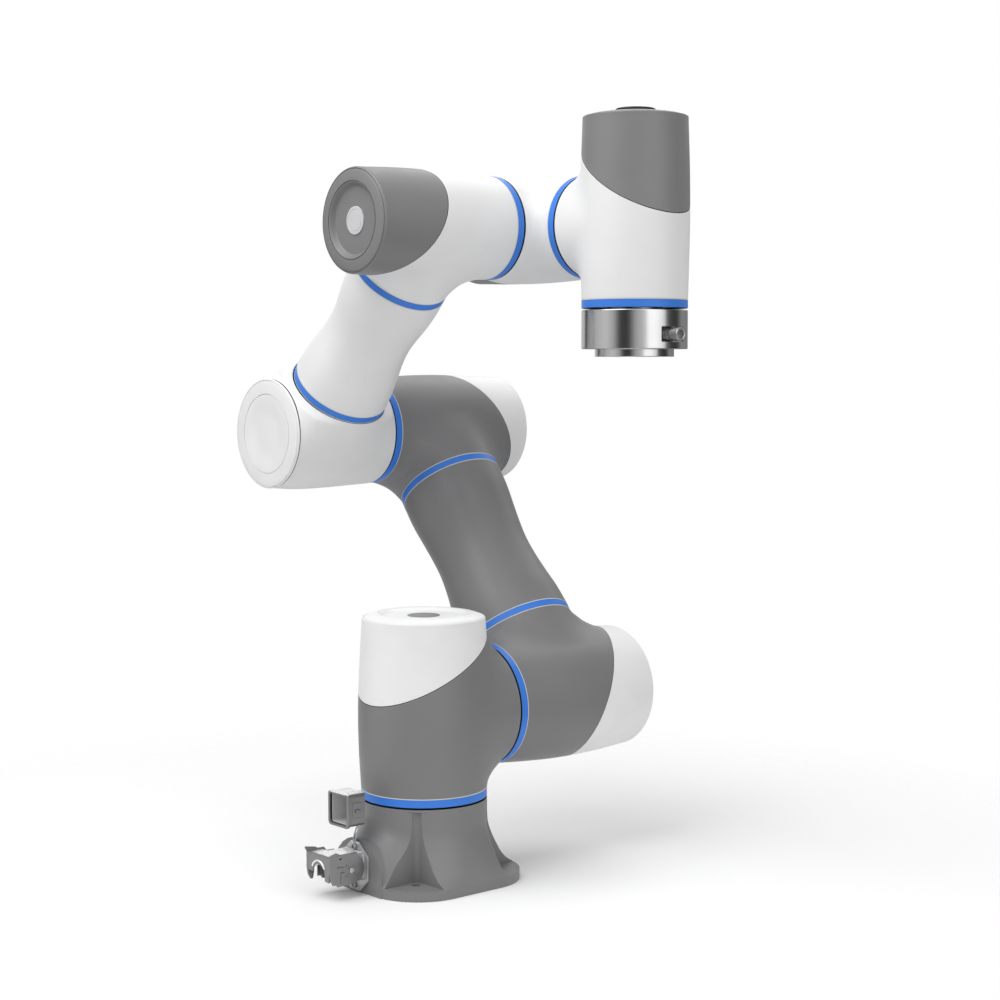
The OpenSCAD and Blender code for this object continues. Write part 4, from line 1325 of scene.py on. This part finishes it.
def make_arm():
    for key, (body, wall, colour, hub, cover, sizes) in ARM.items():
        h = HOUSINGS[key]
        shape = housing_shape(h, wall)
        if hub:
            make_hub, drive_radius = hub
            # The hub, seen only through the joint's gap, is painted black as shade.
            shape.join(make_hub(h, drive_radius), paint=1)
        build(key + "_housing", shape, h.place, body, colour + "_paint", [PAINTS[colour], BLACK_AND_GAP_SHADE])
        make_cover(h, body, cover, **sizes)
        if h.ring:
            make_ring(h.ring, h.place, body)
    for body, (place, colour, radii, bore) in TUBES.items():
        rings = [f"{body}_{end}_ring" for end in ("lower", "upper")]
        shape = tube_shape(place, *rings, radii, bore)
        build(body + "_tube", shape, place, body, colour + "_paint", [PAINTS[colour]])
        for ring in rings:
            make_ring(ring, place, body, True, bore)


def make_small_parts():
    shoulder, forearm, wrist = [HOUSINGS[key] for key in ("shoulder", "joint_4", "wrist_2")]
    screws = Shape()
    for side in (-1, 1):
        screws.join(screw_shape([0, HOOD_ROOT, PLATE_HEIGHT + side * SCREW_RISE]))
    button = button_shape(BUTTON_RADIUS, wrist.cap - 4, wrist.cap + 4.4, BUTTON_STEM)
    for name, shape, place, body, slot, materials in (
            ("base_casting", base_shape(), AT_BASE, "base", "dark_paint", [DARK_PAINT, BLACK_AND_GAP_SHADE]),
            ("connector_shell", connector_shell_shape(), AT_BASE, "base", "connector_metal",
             [CAST_METAL, HIGHLIGHT_SHEET_METAL]),
            ("connector_insert", connector_insert_shape(), AT_BASE, "base", "black_plastic", [BLACK_AND_GAP_SHADE]),
            ("connector_screws", screws, AT_BASE, "base", "steel", [STEEL]),
            ("connector_lever", lever_shape(), AT_BASE, "connector_lever", "connector_metal",
             [SHEET_METAL, HIGHLIGHT_SHEET_METAL]),
            ("dust_cap", dust_cap_shape(), AT_BASE, "dust_cap", "connector_metal",
             [SHEET_METAL, HIGHLIGHT_SHEET_METAL, CAP_PAINTED_LIGHT]),
            ("dust_cap_cord", cord_shape(), AT_BASE, "dust_cap", "steel", [WIRE]),
            ("shoulder_badge", badge_shape(13, shoulder.cap - 1.9), shoulder.place, "shoulder",
             "dark_cover", [BADGE_DARK]),
            ("joint_4_badge", badge_shape(11, forearm.cap - 3.1), forearm.place, "forearm",
             "white_cover", [BADGE_LIGHT]),
            ("wrist_2_button", button, wrist.place, "wrist_button", "black_plastic", [BLACK_AND_GAP_SHADE]),
            ("tool_flange", tool_flange_shape(), AT_WRIST_2, "tool_flange", "flange_metal",
             [FLANGE_METAL, BLACK_AND_GAP_SHADE]),
            ("tool_connector", tool_connector_shape(), AT_WRIST_2, "tool_flange", "connector_metal",
             [CAST_METAL])):
        sharp = 30 if name in ("base_casting", "tool_flange") else 38
        build(name, shape, place, body, slot, materials, sharp)


def finish_kept_nodes():
    """The drives, boards and cable inside keep their CAD meshes and take a finish."""
    finishes = {"stator": winding("Copper windings"), "gear": STEEL, "rotor": STEEL,
                "board": circuit("Circuit board"), "harness": cable("Cable jacket")}
    for name, node in frame["nodes"].items():
        for word, material in finishes.items():
            if word in name:
                node.data.materials.clear()
                node.data.materials.append(material)


# ---- Studio ----

def make_floor():
    """A pale round floor that fades into the background."""
    rim = [(x, y, 0) for x, y in circle_outline(9.0, steps=96)]
    mesh = bpy.data.meshes.new("Floor")
    mesh.from_pydata(rim, [], [tuple(range(len(rim)))])
    floor = bpy.data.objects.new("Floor", mesh)
    bpy.context.scene.collection.objects.link(floor)
    f = Finish("Floor", Base_Color=linear(252, 252, 252), Roughness=0.75, Specular_IOR_Level=0.2)
    distance = f.node("ShaderNodeVectorMath", {"operation": "LENGTH"}, i0=f.place).outputs["Value"]
    fade = f.range(distance, 1, 0, 0.24, 0.7)
    f.set(Normal=f.bump(f.noise(300, 2), 0.00002))
    f.set(Alpha=fade)
    mesh.materials.append(f.material)


# Brightness of the studio by direction, from 0 to 1 round the vertical, as reflections show it.
SOFT_BOXES = [(0, 0.04), (0.06, 0.3), (0.13, 1.0), (0.2, 1.2), (0.24, 0.9), (0.29, 0.06), (0.335, 0.04),
              (0.4, 0.9), (0.45, 1.2), (0.51, 1.1), (0.55, 0.5), (0.59, 0.08), (0.66, 0.05), (0.72, 0.5),
              (0.79, 0.35), (0.88, 0.9), (1, 0.04)]


def make_world():
    """White to the camera, soft light for surfaces, and bright and dim bands for reflections."""
    world = bpy.data.worlds.new("Studio")
    bpy.context.scene.world = world
    world.use_nodes = True
    tree = world.node_tree
    nodes, link = tree.nodes, tree.links.new
    nodes.clear()
    output = nodes.new("ShaderNodeOutputWorld")
    path = nodes.new("ShaderNodeLightPath")
    place = nodes.new("ShaderNodeTexCoord")
    split = nodes.new("ShaderNodeSeparateXYZ")
    link(place.outputs["Generated"], split.inputs[0])
    around = nodes.new("ShaderNodeTexGradient")
    around.gradient_type = "RADIAL"
    link(place.outputs["Generated"], around.inputs["Vector"])
    bands = nodes.new("ShaderNodeValToRGB")
    bands.color_ramp.interpolation = "EASE"
    stops = bands.color_ramp.elements
    for at, level in SOFT_BOXES:
        stop = stops[0] if at == 0 else stops[1] if at == 1 else stops.new(at)
        stop.color = (level, level, level, 1)
    link(around.outputs["Fac"], bands.inputs["Fac"])
    rise = nodes.new("ShaderNodeMapRange")
    rise.inputs["From Min"].default_value = -0.6
    rise.inputs["From Max"].default_value = 0.8
    rise.inputs["To Min"].default_value = 0.45
    rise.inputs["To Max"].default_value = 1.15
    link(split.outputs["Z"], rise.inputs["Value"])
    shine = nodes.new("ShaderNodeMath")
    shine.operation = "MULTIPLY"
    link(rise.outputs[0], shine.inputs[0])
    link(bands.outputs["Color"], shine.inputs[1])

    def background(strength):
        made = nodes.new("ShaderNodeBackground")
        made.inputs["Color"].default_value = (1, 1, 1, 1)
        if isinstance(strength, bpy.types.NodeSocket):
            link(strength, made.inputs["Strength"])
        else:
            made.inputs["Strength"].default_value = strength
        return made.outputs[0]

    def choose(flag, first, second):
        made = nodes.new("ShaderNodeMixShader")
        link(path.outputs[flag], made.inputs[0])
        link(first, made.inputs[1])
        link(second, made.inputs[2])
        return made.outputs[0]

    lit = background(0.48)
    shown = choose("Is Camera Ray", choose("Is Glossy Ray", lit, background(shine.outputs[0])),
                   background(1.0))
    link(shown, output.inputs["Surface"])


MIDDLE = (cad_box[0] + cad_box[1]) / 2
AIM = Vector((-0.0413, 0.1163, 0.2977))   # the point in the middle of the photograph, in metres
CAMERA_DISTANCE = 1.652
LIGHT_DISTANCE = 1.6


def stand(data, target, azimuth, elevation, distance):
    """A light or a camera at a distance from its target, in degrees round and above it."""
    a, e = math.radians(azimuth), math.radians(elevation)
    back = Vector((math.sin(a) * math.cos(e), -math.cos(a) * math.cos(e), math.sin(e)))
    made = bpy.data.objects.new(data.name, data)
    made.location = target + back * distance
    made.rotation_euler = back.to_track_quat("Z", "Y").to_euler()
    bpy.context.scene.collection.objects.link(made)
    return made


def make_light(name, azimuth, elevation, size, power):
    """A soft box aimed at the middle of the arm."""
    data = bpy.data.lights.new(name, "AREA")
    data.shape = "RECTANGLE"
    data.size, data.size_y = size
    data.energy = power
    stand(data, MIDDLE, azimuth, elevation, LIGHT_DISTANCE)


def make_camera():
    """The photograph's view."""
    data = bpy.data.cameras.new("Camera")
    data.sensor_width = 36
    data.lens = 69.68
    data.clip_end = 50
    bpy.context.scene.camera = stand(data, AIM, 49.26, 3.97, CAMERA_DISTANCE)


make_arm()
make_small_parts()
finish_kept_nodes()
make_floor()
make_world()
make_light("Key", -4, 55, (1.4, 1.4), 21)
make_light("Fill", 95, 24, (1.2, 1.6), 6)
make_light("Rim", 200, 40, (1.2, 1.2), 5)
make_camera()
bpy.context.scene.view_settings.view_transform = "Standard"
